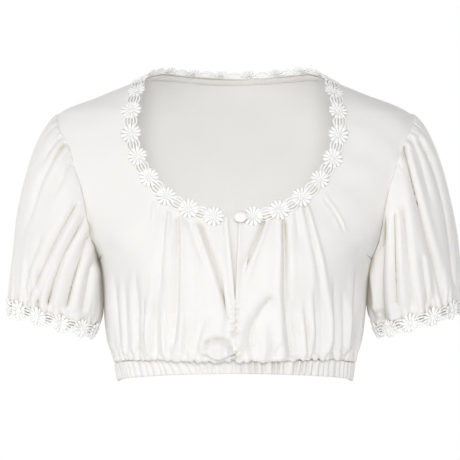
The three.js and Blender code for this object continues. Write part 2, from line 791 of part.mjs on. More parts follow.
// Lace round a cuff, open by a seam's gap under the arm
function cuffLace(side) {
  const around = 2 * Math.PI * ((cuffRadiusAcross + cuffRadiusDeep) / 2 + cuffLaceLift);
  return laceGeometry(around - seamGap, cuffDaisies, (along, across) => {
    const turn = (Math.PI + (2 * Math.PI * (along + seamGap / 2)) / around) % (2 * Math.PI);
    const reach = sleevePoint(turn, 1).distanceTo(sleevePoint(turn, 0.97)) / 0.03;
    return sleeveSpot(side, turn, 1 + (across + cuffLaceDrop) / reach, cuffLaceLift);
  });
}

// A covered button: a low dome on the cloth of the front, as wide as its radius says
function buttonMesh(button) {
  const { radius, rise, height } = button;
  const angle = frontAngle(Math.abs(button.x), height);
  const spot = clothSpot(Math.sign(button.x), angle, height, button.standOff);
  const profile = buttonProfile.map(({ across, out }) => new THREE.Vector2(radius * across, rise * out));
  const geometry = new THREE.LatheGeometry(profile, buttonSides).scale(1, 1, button.tall);
  const mesh = new THREE.Mesh(geometry, covered);
  mesh.name = button.name;
  mesh.position.copy(spot.place);
  mesh.quaternion.setFromUnitVectors(new THREE.Vector3(0, 1, 0), spot.out);
  return mesh;
}

const jersey = new THREE.MeshStandardMaterial({ color: 0xf4f2ec, roughness: 0.9, metalness: 0 });
const casing = new THREE.MeshStandardMaterial({ color: 0xf3f1eb, roughness: 0.88, metalness: 0 });
const laceThread = new THREE.MeshStandardMaterial({ color: 0xfaf9f5, roughness: 0.7, metalness: 0 });
const covered = new THREE.MeshStandardMaterial({ color: 0xf7f5f0, roughness: 0.6, metalness: 0 });

const blouse = new THREE.Group();

function addPiece(name, geometry, material) {
  const mesh = new THREE.Mesh(geometry, material);
  mesh.name = name;
  blouse.add(mesh);
}

const fronts = { right: frontPanel(-1), left: frontPanel(1) };
for (const [label, side] of [["right", -1], ["left", 1]]) {
  const front = fronts[label];
  addPiece("front_" + label, wall(front.spots, front.triangles, 0, clothThickness), jersey);
  const sleeveMesh = gridTriangles(sleeveColumns, sleeveRows.length - 1, true);
  addPiece("sleeve_" + label, wall(sleeveSpots(side), sleeveMesh, 0, clothThickness), jersey);
  addPiece("neck_lace_" + label, frontNeckLace(side), laceThread);
  addPiece("cuff_lace_" + label, cuffLace(side), laceThread);
}
const back = backPanel();
addPiece("back", wall(back.spots, back.triangles, 0, clothThickness), jersey);
addPiece("waistband", waistbandGeometry(), casing);
addPiece("neck_lace_back", backNeckLace(), laceThread);

const binding = bindingSpots(back);
const bindingMesh = gridTriangles(2 * backNeckColumns - 2, 1, false);
const innerNear = clothThickness + innerGap;
addPiece("neck_binding", wall(binding, bindingMesh, innerNear, innerNear + bindingThickness), casing);

const underlap = underlapSpots(fronts.right, fronts.left);
const underlapAcross = 2 * underlapColumns + 2;
const underlapRows = underlap.length / underlapAcross - 1;
const underlapMesh = gridTriangles(underlapAcross - 1, underlapRows, false, underlapColumns);
const underlapWall = wall(underlap, underlapMesh, innerNear, innerNear + clothThickness);
addPiece("slit_underlap", underlapWall, jersey);

for (const button of buttons) blouse.add(buttonMesh(button));

export default blouse;
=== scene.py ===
"""A short white dirndl blouse as it is worn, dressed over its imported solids.

Jersey fronts, back and puff sleeves, a gathered elastic band under the bust, daisy lace round
the neck and the cuffs, and two covered buttons. Shapes are worked out in millimetres, in the
frame of the solids: +X is the wearer's left, -Y the front, +Z up, and the origin lies between
the two neck points. A mesh is turned to metres only when it is made.
"""

import math
from collections import namedtuple

import bpy
import numpy as np
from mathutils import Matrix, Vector


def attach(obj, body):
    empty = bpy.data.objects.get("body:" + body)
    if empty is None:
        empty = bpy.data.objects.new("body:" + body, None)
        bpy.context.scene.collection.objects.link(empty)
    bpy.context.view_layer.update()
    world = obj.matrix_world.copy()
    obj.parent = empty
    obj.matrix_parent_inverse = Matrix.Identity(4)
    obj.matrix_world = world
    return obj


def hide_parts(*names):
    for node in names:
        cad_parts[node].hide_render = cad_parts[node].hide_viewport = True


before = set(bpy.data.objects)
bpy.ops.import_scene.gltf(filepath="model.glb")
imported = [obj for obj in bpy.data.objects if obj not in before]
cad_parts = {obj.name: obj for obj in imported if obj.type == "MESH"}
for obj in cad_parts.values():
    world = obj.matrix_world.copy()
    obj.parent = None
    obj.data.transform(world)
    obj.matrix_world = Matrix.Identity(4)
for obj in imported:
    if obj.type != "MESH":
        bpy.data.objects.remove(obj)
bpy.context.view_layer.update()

METRES = 0.001
QUARTER = math.pi / 2
FULL_TURN = 2 * math.pi

# Cloth and seams
CLOTH_THICKNESS = 0.9
SEAM_GAP = 0.4
TUCK_LENGTH = 2.2
TUCK_DEPTH = 1.0

# Waistband
BAND_HEIGHT = 19
BAND_BOTTOM_AT_SIDE = -337
BAND_RISE_AT_FRONT = 14
BAND_RISE_AT_BACK = 4
BAND_THICKNESS = 2.4
BAND_RIBS = 88
RIB_HEIGHT = 4.0

# Neckline, armhole and slit, as on the solids
NECK_HALF_WIDTH = 114
NECK_SCOOP_TOP = -46
NECK_SCOOP_DROP = 109
NECK_SCOOP_POWER = 2.1
NECK_POINT_HEIGHT = 2
NECK_LEAN_IN = 10
NECK_CORNER_ANGLE = 1.14
NECK_CORNER_SHARE = 0.625
BACK_NECK_HEIGHT = 5.5
BACK_NECK_RISE = 3.5
BACK_NECK_FALL = 7
BACK_NECK_SHARE = 0.6
CHEST_LINE_SAG = 6
SHOULDER_TIP_HEIGHT = -39
UNDERARM_HEIGHT = -204
ARMHOLE_FRONT_ANGLE = 0.637
ARMHOLE_BACK_ANGLE = 0.6
FRONT_UNDERARM = 0.56
BACK_UNDERARM = 0.42
BACK_TOP_POWER = 4
SLIT_BOTTOM = -245
SLIT_TOP = -155
SLIT_HALF_WIDTH = {-1: 8.2, 1: 4.2}

# Sleeve hem: a ring square to an arm that leans out
CUFF_CENTRE = (203.7, 0, -263.5)
CUFF_RADIUS_ACROSS = 49.5
CUFF_RADIUS_DEEP = 52
CUFF_LEAN = 0.29
SLEEVE_SEAM_LIFT = 0.5
SLEEVE_TUCK = 0.6
SLEEVE_LENGTH = 210

# Height, half width, depth in front, depth behind, and roundness of each level of the worn cloth
BODY_SECTIONS = [
    (14, 88, 26, 56, 2.05),
    (2, 104, 42, 68, 2.1),
    (-18, 150, 56, 80, 2.3),
    (-39, 197, 66, 90, 2.4),
    (-62, 211, 77, 98, 2.4),
    (-95, 210, 90, 105, 2.4),
    (-123, 200, 101, 107, 2.3),
    (-150, 186, 110, 106, 2.25),
    (-180, 168, 118, 104, 2.2),
    (-204, 153, 121, 101, 2.15),
    (-235, 148, 118, 97, 2.1),
    (-265, 145.5, 112, 93, 2.1),
    (-290, 141.5, 104, 89, 2.1),
    (-304, 137, 99, 86, 2.1),
    (-318, 133, 95, 83, 2.1),
    (-340, 130, 94, 81, 2.1),
]

# How far the front cloth stands out and hangs down, by its height above the band's seam
BLOUSE_PROFILE = [
    (0, 0, 0),
    (2, 3.4, 1.6),
    (5, 6.8, 10.4),
    (9, 8.6, 12),
    (16, 8, 8),
    (28, 4.5, 3),
    (48, 0, 0),
]
BLOUSE_HALF_ANGLE = 0.95

# Two bust curves on a general figure
BUST_REACH = 9
BUST_HEIGHT = -212
BUST_ANGLE = 0.66
BUST_SPREAD = 0.4
BUST_ABOVE = 52
BUST_BELOW = 40

# How the lines down the sleeve leave the armhole and reach the cuff: on top, at the sides, under
SLEEVE_LEAVE_OUT = (106, 95, -8)
SLEEVE_LEAVE_DOWN = (40, 110, 50)
SLEEVE_ARRIVE_OUT = (0, 0, 30)
SLEEVE_ARRIVE_DOWN = (190, 110, 62)
SLEEVE_LEAVE_FORWARD = 85
SLEEVE_CLOSE_IN = 22


# Curves and the worn form


def table_curve(rows, column):
    """A smooth curve through a table's (height, value) pairs. Each slope is the harmonic mean of its
    two neighbours, or 0 at a turn, so the cubic between two rows never overshoots them."""
    table = np.array(sorted(rows), dtype=float)
    level, value = table[:, 0], table[:, column]
    slope = np.diff(value) / np.diff(level)
    product = slope[:-1] * slope[1:]
    total = slope[:-1] + slope[1:]
    inner = np.where(product > 0, 2 * product / np.where(product > 0, total, 1), 0)
    tangent = np.concatenate(([slope[0]], inner, [slope[-1]]))

    def read(height):
        at = np.clip(height, level[0], level[-1])
        i = np.clip(np.searchsorted(level, at, side="right") - 1, 0, len(level) - 2)
        span = level[i + 1] - level[i]
        t = (at - level[i]) / span
        rise = t * t * (3 - 2 * t)
        bend = t * (1 - t) ** 2 * tangent[i] + t * t * (t - 1) * tangent[i + 1]
        return value[i] * (1 - rise) + value[i + 1] * rise + span * bend

    return read


half_width_at, front_at, back_at, power_at = (table_curve(BODY_SECTIONS, k) for k in (1, 2, 3, 4))
blouse_out_at, blouse_drop_at = (table_curve(BLOUSE_PROFILE, k) for k in (1, 2))


def bell(distance):
    """1 at no distance, and exp(-d^2) away from it."""
    return np.exp(-distance * distance)


def smooth(start, end, value):
    """0 before start and 1 after end, with level ends between: 3t^2 - 2t^3."""
    t = np.clip((value - start) / (end - start), 0, 1)
    return t * t * (3 - 2 * t)


def mix(a, b, t):
    return a + (b - a) * t


def unit(vectors):
    return vectors / np.maximum(np.linalg.norm(vectors, axis=-1, keepdims=True), 1e-9)


def running_length(points):
    """The length along a line of points, up to each of them."""
    return np.concatenate(([0], np.cumsum(np.linalg.norm(np.diff(points, axis=0), axis=1))))


def band_bottom(angle):
    """The band's lower edge rises from the side by |cos|^1.1, more in front than behind."""
    rise = np.where(np.cos(angle) > 0, BAND_RISE_AT_FRONT, BAND_RISE_AT_BACK)
    return BAND_BOTTOM_AT_SIDE + rise * np.abs(np.cos(angle)) ** 1.1


def band_top(angle):
    return band_bottom(angle) + BAND_HEIGHT


def form_point(angle, height):
    """The left half of the worn form. Each level is a superellipse, |x/w|^n + |y/d|^n = 1, from the
    centre front (angle 0) over the side to the centre back. A bell stands out for the bust, and the
    front blouses over the band: it is scaled outwards and let down by BLOUSE_PROFILE."""
    angle, height = np.broadcast_arrays(np.asarray(angle, float), np.asarray(height, float))
    power = power_at(height)
    s, c = np.sin(angle), np.cos(angle)
    reach = (np.abs(s) ** power + np.abs(c) ** power) ** (-1 / power)
    depth = np.where(c > 0, front_at(height), back_at(height))
    bust = BUST_REACH * bell((angle - BUST_ANGLE) / BUST_SPREAD)
    bust = bust * bell((height - BUST_HEIGHT) / np.where(height > BUST_HEIGHT, BUST_ABOVE, BUST_BELOW))
    above = height - band_top(angle)
    blousing = bell(angle / BLOUSE_HALF_ANGLE)
    outward = 1 + blousing * blouse_out_at(above) / depth
    x = half_width_at(height) * reach * s * outward
    y = -depth * reach * c * outward - bust
    return np.stack([x, y, height - blousing * blouse_drop_at(above)], axis=-1)


def form_steps(angle, height, small=0.004, step=0.4):
    """The form's steps round and up, from just before each place to just after it."""
    round_it = form_point(angle + small, height) - form_point(angle - small, height)
    up_it = form_point(angle, height + step) - form_point(angle, height - step)
    return round_it, up_it


def form_normal(angle, height):
    """Out of the form: the cross product of its steps round and up."""
    return unit(np.cross(*form_steps(angle, height)))


def front_angle(x, height):
    """The angle at which the front of a level lies a distance x from the middle."""
    power = power_at(height)
    share = np.minimum(0.9999, x / half_width_at(height)) ** power
    return np.arctan((share / (1 - share)) ** (1 / power))


def by_length(curve, samples=160):
    """Reads a curve of (angle, height) by its length on the form, as shares of the whole."""
    t = np.linspace(0, 1, samples + 1)
    angle, height = curve(t)
    run = running_length(form_point(angle, height))

    def read(share):
        wanted = np.clip(share, 0, 1) * run[-1]
        return np.interp(wanted, run, angle), np.interp(wanted, run, height)

    read.total = run[-1]
    return read


def joined(first, second, at):
    """Two curves end to end, joined at a share of the whole."""

    def read(share):
        share = np.asarray(share, float)
        early = first(np.clip(share / at, 0, 1))
        late = second(np.clip((share - at) / (1 - at), 0, 1))
        return tuple(np.where(share <= at, a, b) for a, b in zip(early, late))

    return read


# Lines of the cut


def scoop_spot(turn):
    """The front scoop: a superellipse from the centre front (0) to the foot of the strap (90 degrees)."""
    s, c = np.sin(turn), np.maximum(0, np.cos(turn))
    reach = (s**NECK_SCOOP_POWER + c**NECK_SCOOP_POWER) ** (-1 / NECK_SCOOP_POWER)
    height = NECK_SCOOP_TOP - NECK_SCOOP_DROP * reach * c
    return front_angle(NECK_HALF_WIDTH * reach * s, height), height


def strap_edge_spot(share):
    """The strap's inner edge leans in to the neck point by share^1.5."""
    height = mix(NECK_SCOOP_TOP, NECK_POINT_HEIGHT, share)
    x = NECK_HALF_WIDTH - NECK_LEAN_IN * share**1.5
    return np.where(share >= 1, QUARTER, front_angle(x, height)), height


def front_neck(side):
    """One front's neckline: below its corner, above it, and whole."""
    start = SLIT_HALF_WIDTH[side] / NECK_HALF_WIDTH
    lower = by_length(lambda t: scoop_spot(mix(start, NECK_CORNER_ANGLE, t)))
    rest = joined(lambda t: scoop_spot(mix(NECK_CORNER_ANGLE, QUARTER, t)), strap_edge_spot, 0.4)
    all_of_it = joined(lambda t: scoop_spot(mix(start, QUARTER, t)), strap_edge_spot, 0.7)
    return lower, by_length(rest), by_length(all_of_it)


def back_neck_spot(share):
    """The back neckline, from the centre back to the neck point: it rises a little, then falls."""
    rise = BACK_NECK_RISE * smooth(0, 0.65, share) - BACK_NECK_FALL * smooth(0.65, 1, share)
    return mix(math.pi, QUARTER, share), BACK_NECK_HEIGHT + rise


def shoulder_spot(share):
    return QUARTER + 0 * share, mix(NECK_POINT_HEIGHT, SHOULDER_TIP_HEIGHT, share)


def armhole_spot(turn, front):
    """The armhole, from the shoulder tip (0) to the underarm (180 degrees): a half ring whose angle
    goes inward by |sin|^0.9, more above the middle than below."""
    middle = (SHOULDER_TIP_HEIGHT + UNDERARM_HEIGHT) / 2
    half = (SHOULDER_TIP_HEIGHT - UNDERARM_HEIGHT) / 2
    widest = np.where(front, ARMHOLE_FRONT_ANGLE, ARMHOLE_BACK_ANGLE)
    inward = widest * np.abs(np.sin(turn)) ** 0.9 * (1 + 0.2 * np.cos(turn))
    return QUARTER + np.where(front, -inward, inward), middle + half * np.cos(turn)


def side_seam_spot(share):
    return QUARTER + 0 * share, mix(band_top(QUARTER) - TUCK_LENGTH, UNDERARM_HEIGHT, share)


def tucked_edge(first):
    """A panel's lower edge, from an angle to the side seam, tucked in behind the band."""

    def spot(share):
        angle = mix(first, QUARTER, share)
        return angle, band_top(angle) - TUCK_LENGTH

    return spot


def slit_half_width(side, height, top=SLIT_TOP):
    """Half the opening of the slit: a V that widens evenly from its foot to its top."""
    return SLIT_HALF_WIDTH[side] * np.maximum(0, (height - SLIT_BOTTOM) / (top - SLIT_BOTTOM))


def above_underarm(rows, underarm):
    """0 on the rows that end at the side seam, and 1 on those that end at the armhole."""
    return smooth(underarm - 0.02, underarm + 0.06, rows)[:, None]


def patch(bottom, top, left, right, across, up, power=1):
    """Fills a four-sided patch: its ruled surface across, plus the one up, less that of its corners.
    Each curve gives (angle, height), and a higher power holds the top's shape nearer to the top."""
    w = (up**power)[:, None]
    p = across[None, :]
    filled = []
    for k in (0, 1):
        low, high = bottom(across)[k][None, :], top(across)[k][None, :]
        near, far = left(up)[k][:, None], right(up)[k][:, None]
        corners = (1 - p) * (1 - w) * low[0, 0] + p * (1 - w) * low[0, -1]
        corners = corners + (1 - p) * w * high[0, 0] + p * w * high[0, -1]
        filled.append((1 - w) * low + w * high + (1 - p) * near + p * far - corners)
    return filled


# Folds

# A crease of the cloth: its path in the front view, (x, z) from start to end; how deep its trough
# is and how wide; how high the roll beside it stands, as a share of the depth, and on which side of
# the path (1 is the right as one looks down it); the lengths over which its ends die away; and how
# many times wider it is at its end
Crease = namedtuple(
    "Crease", "path depth width roll side start end widen", defaults=(0.5, 1, 10, 20, 1.5)
)

FRONT_CREASES = [
    # Wearer's right, from the slit outwards
    Crease(
        [(-39, -158), (-30, -184), (-20, -210), (-13, -236), (-4, -270)],
        7.0, 2.6, 0.3, 1, 5, 20, 1.4,
    ),
    Crease([(-52, -154), (-44, -176), (-33, -204), (-28, -222)], 2.5, 3.2, 0.4, 1, 6, 26, 1.8),
    Crease(
        [(-62, -150), (-61, -190), (-62, -236), (-65, -272), (-68, -300)],
        5.2, 2.2, 0.35, -1, 6, 12, 1.9,
    ),
    Crease([(-75, -144), (-77, -176), (-80, -212), (-82, -246)], 3.0, 2.6, 0.4, -1, 6, 26, 1.8),
    Crease([(-82, -138), (-83, -152), (-85, -172)], 1.4, 1.9, 0.5, -1, 5, 16, 1.5),
    Crease([(-90, -133), (-91, -146), (-93, -164)], 1.0, 1.8, 0.5, -1, 5, 14, 1.5),
    Crease([(-68, -148), (-69, -164), (-71, -186)], 1.5, 1.8, 0.5, 1, 5, 18, 1.5),
    Crease([(-28, -254), (-36, -268), (-41, -286), (-44, -304)], 6.0, 5.2, 0.4, -1, 18, 8, 1.3),
    # Wearer's left
    Crease([(33, -153), (26, -172), (17, -192), (8, -214), (4, -238)], 6.2, 2.0, 0.35, -1, 3, 40, 1.8),
    Crease([(52, -154), (53, -196), (53, -238), (57, -276), (62, -308)], 7.5, 2.1, 0.35, 1, 5, 6, 2.6),
    Crease([(60, -240), (64, -264), (68, -292)], 3.2, 4.6, 0.3, 1, 16, 14, 1.4),
    Crease(
        [(74, -140), (80, -164), (87, -192), (92, -226), (95, -262), (99, -300)],
        3.2, 1.6, 0.8, -1, 4, 14, 2.4,
    ),
    Crease([(94, -131), (104, -144), (113, -158), (119, -174)], 1.4, 1.1, 1.0, -1, 4, 14, 1.3),
    Crease([(64, -147), (66, -162), (68, -184)], 1.2, 1.8, 0.5, 1, 5, 16, 1.5),
    Crease([(43, -236), (33, -250), (22, -264), (15, -280), (17, -302)], 7.0, 5.6, 0.3, 1, 14, 8, 1.3),
    Crease([(52, -286), (46, -296), (44, -306)], 2.2, 4.0, 0.4, 1, 8, 4, 1.2),
    # Over the roll that droops on the band
    Crease([(-35, -293), (-29, -287), (-18, -285), (-8, -287), (-3, -294)], 7.0, 2.0, 0.6, 1, 5, 4, 1.0),
    # Under the bust, down to the band
    Crease([(-132, -206), (-132, -256), (-128, -302)], 3.8, 2.8, 0.5, 1, 50, 6, 1.3),
    Crease([(-121, -214), (-121, -262), (-118, -305)], 3.0, 2.2, 0.5, 1, 44, 6, 1.4),
    Crease([(-107, -200), (-109, -258), (-107, -305)], 4.5, 2.8, 0.5, 1, 58, 6, 1.4),
    Crease([(-98, -232), (-99, -268), (-97, -306)], 2.8, 2.0, 0.5, -1, 34, 6, 1.3),
    Crease([(-84, -208), (-87, -258), (-90, -306)], 5.2, 2.7, 0.45, 1, 50, 6, 1.5),
    Crease([(-76, -244), (-75, -274), (-73, -306)], 3.5, 2.2, 0.5, 1, 30, 6, 1.3),
    Crease([(-52, -250), (-54, -280), (-55, -308)], 3.2, 2.5, 0.5, 1, 28, 6, 1.3),
    Crease([(73, -240), (78, -274), (80, -306)], 4.6, 2.4, 0.5, 1, 34, 6, 1.3),
    Crease([(84, -222), (88, -266), (89, -306)], 5.6, 2.6, 0.5, 1, 44, 6, 1.4),
    Crease([(105, -212), (109, -258), (107, -305)], 6.4, 3.0, 0.5, 1, 52, 6, 1.4),
    Crease([(116, -228), (120, -264), (118, -305)], 4.8, 2.4, 0.5, -1, 40, 6, 1.3),
    Crease([(132, -202), (132, -252), (127, -302)], 6.0, 3.0, 0.5, 1, 50, 6, 1.3),
    # Soft pulls towards the underarm
    Crease([(-148, -186), (-132, -190), (-116, -200)], 1.2, 6.0, 0.5, 1, 8, 26),
    Crease([(150, -184), (136, -190), (122, -202)], 1.8, 6.5, 0.5, 1, 8, 26),
]

BACK_CREASES = [
    Crease([(-128, -210), (-128, -256), (-124, -300)], 3.3, 2.9, 0.5, 1, 24, 8),
    Crease([(-112, -204), (-112, -252), (-110, -304)], 4.2, 3.1, 0.5, 1, 26, 8),
    Crease([(-92, -226), (-93, -262), (-92, -306)], 3.3, 2.7, 0.5, 1, 24, 8),
    Crease([(-72, -190), (-74, -246), (-73, -308)], 4.8, 3.3, 0.5, 1, 40, 8),
    Crease([(-50, -224), (-50, -264), (-51, -308)], 3.6, 2.9, 0.5, 1, 26, 8),
    Crease([(-28, -180), (-30, -240), (-30, -310)], 4.5, 3.3, 0.5, -1, 50, 8),
    Crease([(-7, -232), (-8, -268), (-8, -310)], 3.3, 2.9, 0.5, 1, 24, 8),
    Crease([(14, -196), (13, -250), (13, -310)], 4.2, 3.2, 0.5, 1, 40, 8),
    Crease([(35, -220), (36, -262), (34, -308)], 3.3, 2.9, 0.5, 1, 26, 8),
    Crease([(56, -186), (58, -246), (57, -308)], 4.8, 3.5, 0.5, -1, 44, 8),
    Crease([(80, -218), (82, -260), (80, -306)], 3.6, 2.9, 0.5, 1, 26, 8),
    Crease([(100, -198), (102, -250), (99, -304)], 4.5, 3.2, 0.5, 1, 34, 8),
    Crease([(120, -214), (121, -258), (118, -302)], 3.6, 3.0, 0.5, 1, 24, 8),
    Crease([(-150, -176), (-128, -186), (-104, -204)], 2.1, 4.3, 0.5, 1, 10, 34),
    Crease([(150, -170), (130, -184), (106, -206)], 2.4, 4.7, 0.5, 1, 10, 34),
]

# Sleeve creases in the front view, x outward from the middle. The back of each sleeve has the same
# ones, moved a little and less deep.
RIGHT_SLEEVE_CREASES = [
    Crease([(184, -68), (199, -92), (211, -112), (224, -148), (238, -190)], 5.5, 2.6, 0.4, 1, 8, 50, 1.6),
    Crease([(176, -92), (186, -110), (200, -138)], 2.4, 2.4, 0.4, 1, 6, 30, 1.5),
    Crease([(192, -64), (206, -84), (218, -112)], 2.2, 2.4, 0.4, 1, 6, 30, 1.5),
    Crease(
        [(168, -134), (186, -164), (202, -192), (216, -220), (231, -252)],
        6.0, 3.0, 0.35, 1, 14, 10, 1.3,
    ),
    Crease([(160, -150), (176, -178), (191, -204), (207, -254)], 5.8, 2.9, 0.35, 1, 14, 8, 1.3),
    Crease([(157, -170), (166, -196), (174, -216), (186, -258)], 5.8, 2.8, 0.35, 1, 12, 8, 1.3),
    Crease([(156, -200), (161, -228), (169, -262)], 4.8, 2.6, 0.35, 1, 12, 8, 1.3),
    Crease([(208, -168), (221, -198), (236, -240)], 3.1, 3.2, 0.4, 1, 18, 12, 1.3),
    Crease([(196, -196), (208, -222), (219, -254)], 3.1, 2.6, 0.4, 1, 14, 8, 1.3),
]

LEFT_SLEEVE_CREASES = [
    Crease(
        [(184, -70), (190, -100), (198, -132), (207, -168), (220, -210), (228, -248)],
        6.0, 2.6, 0.4, -1, 6, 12, 1.7,
    ),
    Crease(
        [(200, -64), (216, -92), (225, -116), (235, -164), (246, -236)],
        4.8, 3.0, 0.4, -1, 8, 14, 1.5,
    ),
    Crease([(192, -62), (203, -90), (210, -120), (218, -150)], 2.4, 2.4, 0.4, -1, 6, 34, 1.5),
    Crease([(162, -148), (160, -190), (159, -226), (162, -270)], 12.0, 4.6, 0.25, -1, 16, 4, 1.3),
    Crease([(154, -180), (152, -216), (155, -262)], -6.0, 2.6, 0.0, 1, 16, 8, 1.2),
    Crease([(173, -140), (174, -170), (175, -204), (178, -254)], 5.5, 2.8, 0.3, -1, 16, 8, 1.3),
    Crease([(181, -128), (186, -168), (190, -206), (196, -256)], 4.1, 3.2, 0.4, -1, 20, 8, 1.3),
    Crease([(203, -190), (207, -222), (211, -256)], 3.6, 2.8, 0.4, -1, 16, 8, 1.3),
]

# Soft swellings of the fronts: where each one lies in the front view, its half width and half
# height, how far it stands out, and how far it hangs down. The first is the roll that droops over
# the band.
Swelling = namedtuple("Swelling", "x z wide tall rise drop", defaults=(0,))
FRONT_SWELLINGS = [
    Swelling(-17, -296, 14.5, 4.6, 10.0, 8.5),
    Swelling(-18, -262, 9, 14, 1.8),
    Swelling(34, -286, 9, 14, 3.2, 1.5),
    Swelling(-46, -236, 8, 40, 1.4),
    Swelling(38, -214, 9, 34, 1.8),
]


def rounded_path(path, passes=2):
    """Cuts a path's corners: each pass puts two points at 1/4 and 3/4 of every stretch."""
    points = np.array(path, float)
    for _ in range(passes):
        early = points[:-1] * 0.75 + points[1:] * 0.25
        late = points[:-1] * 0.25 + points[1:] * 0.75
        cut = np.stack([early, late], axis=1).reshape(-1, 2)
        points = np.concatenate([points[:1], cut, points[-1:]])
    return points


# A trough's two flanks, as shares of its width
STEEP_FLANK = 0.6
GENTLE_FLANK = 1.4


def crease_field(x, z, creases):
    """How far creases move the cloth out. Across each one, at a distance d towards its roll, it is
    depth * (roll * bell((d - 1.7w) / 1.2w) - exp(-|d / flank|^1.25)), with a lower roll on the other
    side, times the fades of its two ends. The flank below the roll is steep, the other one gentle."""
    total = np.zeros_like(x)
    for crease in creases:
        path = rounded_path(crease.path)
        reach = 5 * crease.width * max(1, crease.widen)
        box = path.min(axis=0) - reach, path.max(axis=0) + reach
        near = (x > box[0][0]) & (x < box[1][0]) & (z > box[0][1]) & (z < box[1][1])
        px, pz = x[near], z[near]
        best, signed, along = np.full(px.shape, 1e9), np.zeros_like(px), np.zeros_like(px)
        run = 0.0
        for (ax, az), (bx, bz) in zip(path[:-1], path[1:]):
            length = math.hypot(bx - ax, bz - az)
            tx, tz = (bx - ax) / length, (bz - az) / length
            forward = np.clip((px - ax) * tx + (pz - az) * tz, 0, length)
            dx, dz = px - ax - forward * tx, pz - az - forward * tz
            away = np.hypot(dx, dz)
            closer = away < best
            best = np.where(closer, away, best)
            signed = np.where(closer, np.sign(dx * tz - dz * tx) * -away, signed)
            along = np.where(closer, run + forward, along)
            run += length
        fade = smooth(0, crease.start, along) * smooth(0, crease.end, run - along)
        w = crease.width * (1 + (crease.widen - 1) * along / run)
        d = signed * -crease.side
        flank = w * np.where(d > 0, STEEP_FLANK, GENTLE_FLANK)
        trough = np.exp(-(np.abs(d / flank) ** 1.25))
        rolls = bell((d - 1.7 * w) / (1.2 * w)) + 0.5 * bell((d + 2.5 * w) / (1.5 * w))
        total[near] += crease.depth * fade * (crease.roll * rolls - trough)
    return total


def swelling_field(x, z, kind):
    """The sum of a swelling's rise or drop times bell(x / wide) * bell(z / tall)."""
    total = np.zeros_like(x)
    for s in FRONT_SWELLINGS:
        total += getattr(s, kind) * bell((x - s.x) / s.wide) * bell((z - s.z) / s.tall)
    return total


# Gathers: a row of valleys round a seam, with the cloth rounded between them. Each has its place
# round it, its width and depth, how far it reaches from the seam, and how it leans.
Valleys = namedtuple("Valleys", "around place width deep reach lean")


def valley_row(count, around, seed, reach, deep, uneven=0.3):
    """Valleys at uneven places round a ring: even steps, each moved by a seeded share of a step."""
    rng = np.random.default_rng(seed)
    step = around / count
    return Valleys(
        around,
        step * (np.arange(count) + uneven * rng.uniform(-1, 1, count)),
        step * rng.uniform(0.19, 0.32, count),
        deep * rng.uniform(0.45, 1.2, count),
        reach * rng.uniform(0.45, 1.1, count),
        rng.uniform(-0.09, 0.09, count),
    )


def gather_field(place, away, row, spread=120):
    """Each valley is -deep * bell(d / width) across the row. With the distance away from the seam
    it leans, grows wider, and dies by exp(-(away / reach)^2). The cloth between stands out."""
    total = np.zeros(np.broadcast(place, away).shape)
    for centre, width, deep, reach, lean in zip(*row[1:]):
        d = (place - centre - lean * away + row.around / 2) % row.around - row.around / 2
        total -= deep * bell(d / (width * (1 + away / spread))) * bell(away / reach)
    return total + 0.4 * row.deep.mean() * bell(away / row.reach.mean())


band_angles = np.linspace(0, math.pi, 400)
band_run = running_length(form_point(band_angles, band_top(band_angles)))
BAND_AROUND = 2 * band_run[-1]
waist_puckers = valley_row(BAND_RIBS, BAND_AROUND, 11, 24, 2.4)
waist_gathers = valley_row(54, BAND_AROUND, 12, 58, 2.6)
waist_folds = valley_row(25, BAND_AROUND, 13, 96, 2.2)


def band_place(side, angle):
    """The length round the band, from the centre front over the wearer's left."""
    arc = np.interp(angle, band_angles, band_run)
    return np.where(side > 0, arc, BAND_AROUND - arc)


def slow_waves(x, z, seed):
    """A gentle unevenness: seven seeded sine waves, 45 to 120 mm long, 0.22 mm high each."""
    rng = np.random.default_rng(seed)
    total = np.zeros_like(x)
    for _ in range(7):
        turn, length, phase = rng.uniform(0, math.pi), rng.uniform(45, 120), rng.uniform(0, 6.28)
        total += 0.22 * np.sin(FULL_TURN * (x * math.cos(turn) + z * math.sin(turn)) / length + phase)
    return total


SEAM_FULLNESS = 1.2
SEAM_RUCHE = 2.4
SEAM_RUCHE_PITCH = 6.4
SLIT_EDGE_ROLL = 0.9


def body_fold(side, angle, height):
    """Everything that moves the body's cloth off its form, at places given by angle and height."""
    angle, height = np.broadcast_arrays(np.asarray(angle, float), np.asarray(height, float))
    base = form_point(angle, height)
    x, y, z = side * base[..., 0], base[..., 1], base[..., 2]
    above = np.maximum(0, height - band_top(angle))
    place = band_place(side, angle)
    gathers = gather_field(place, above, waist_puckers) * (1 - 0.45 * bell(above / 4))
    gathers += SEAM_FULLNESS * bell((above - 3) / 3)
    gathers += gather_field(place, above, waist_gathers) * smooth(0, 6, above)
    gathers += gather_field(place, above, waist_folds, 200) * smooth(0, 14, above)
    ahead = smooth(-6, 6, -y)
    front = crease_field(x, z, FRONT_CREASES) + swelling_field(x, z, "rise")
    ruching = np.sin(FULL_TURN * z / SEAM_RUCHE_PITCH + 1.6 * side + 1.3 * np.sin(z / 5.0))
    closed = smooth(SLIT_BOTTOM + 6, SLIT_BOTTOM - 8, height) * smooth(0, 8, above)
    front += SEAM_RUCHE * ruching * bell((np.abs(x) - 2.4) / 3.2) * closed - 0.8 * bell(x / 1.4) * closed
    behind = crease_field(x, z, BACK_CREASES)
    folds = front * ahead + behind * (1 - ahead)
    return gathers + folds + slow_waves(x, z + y, 5)


# Meshes


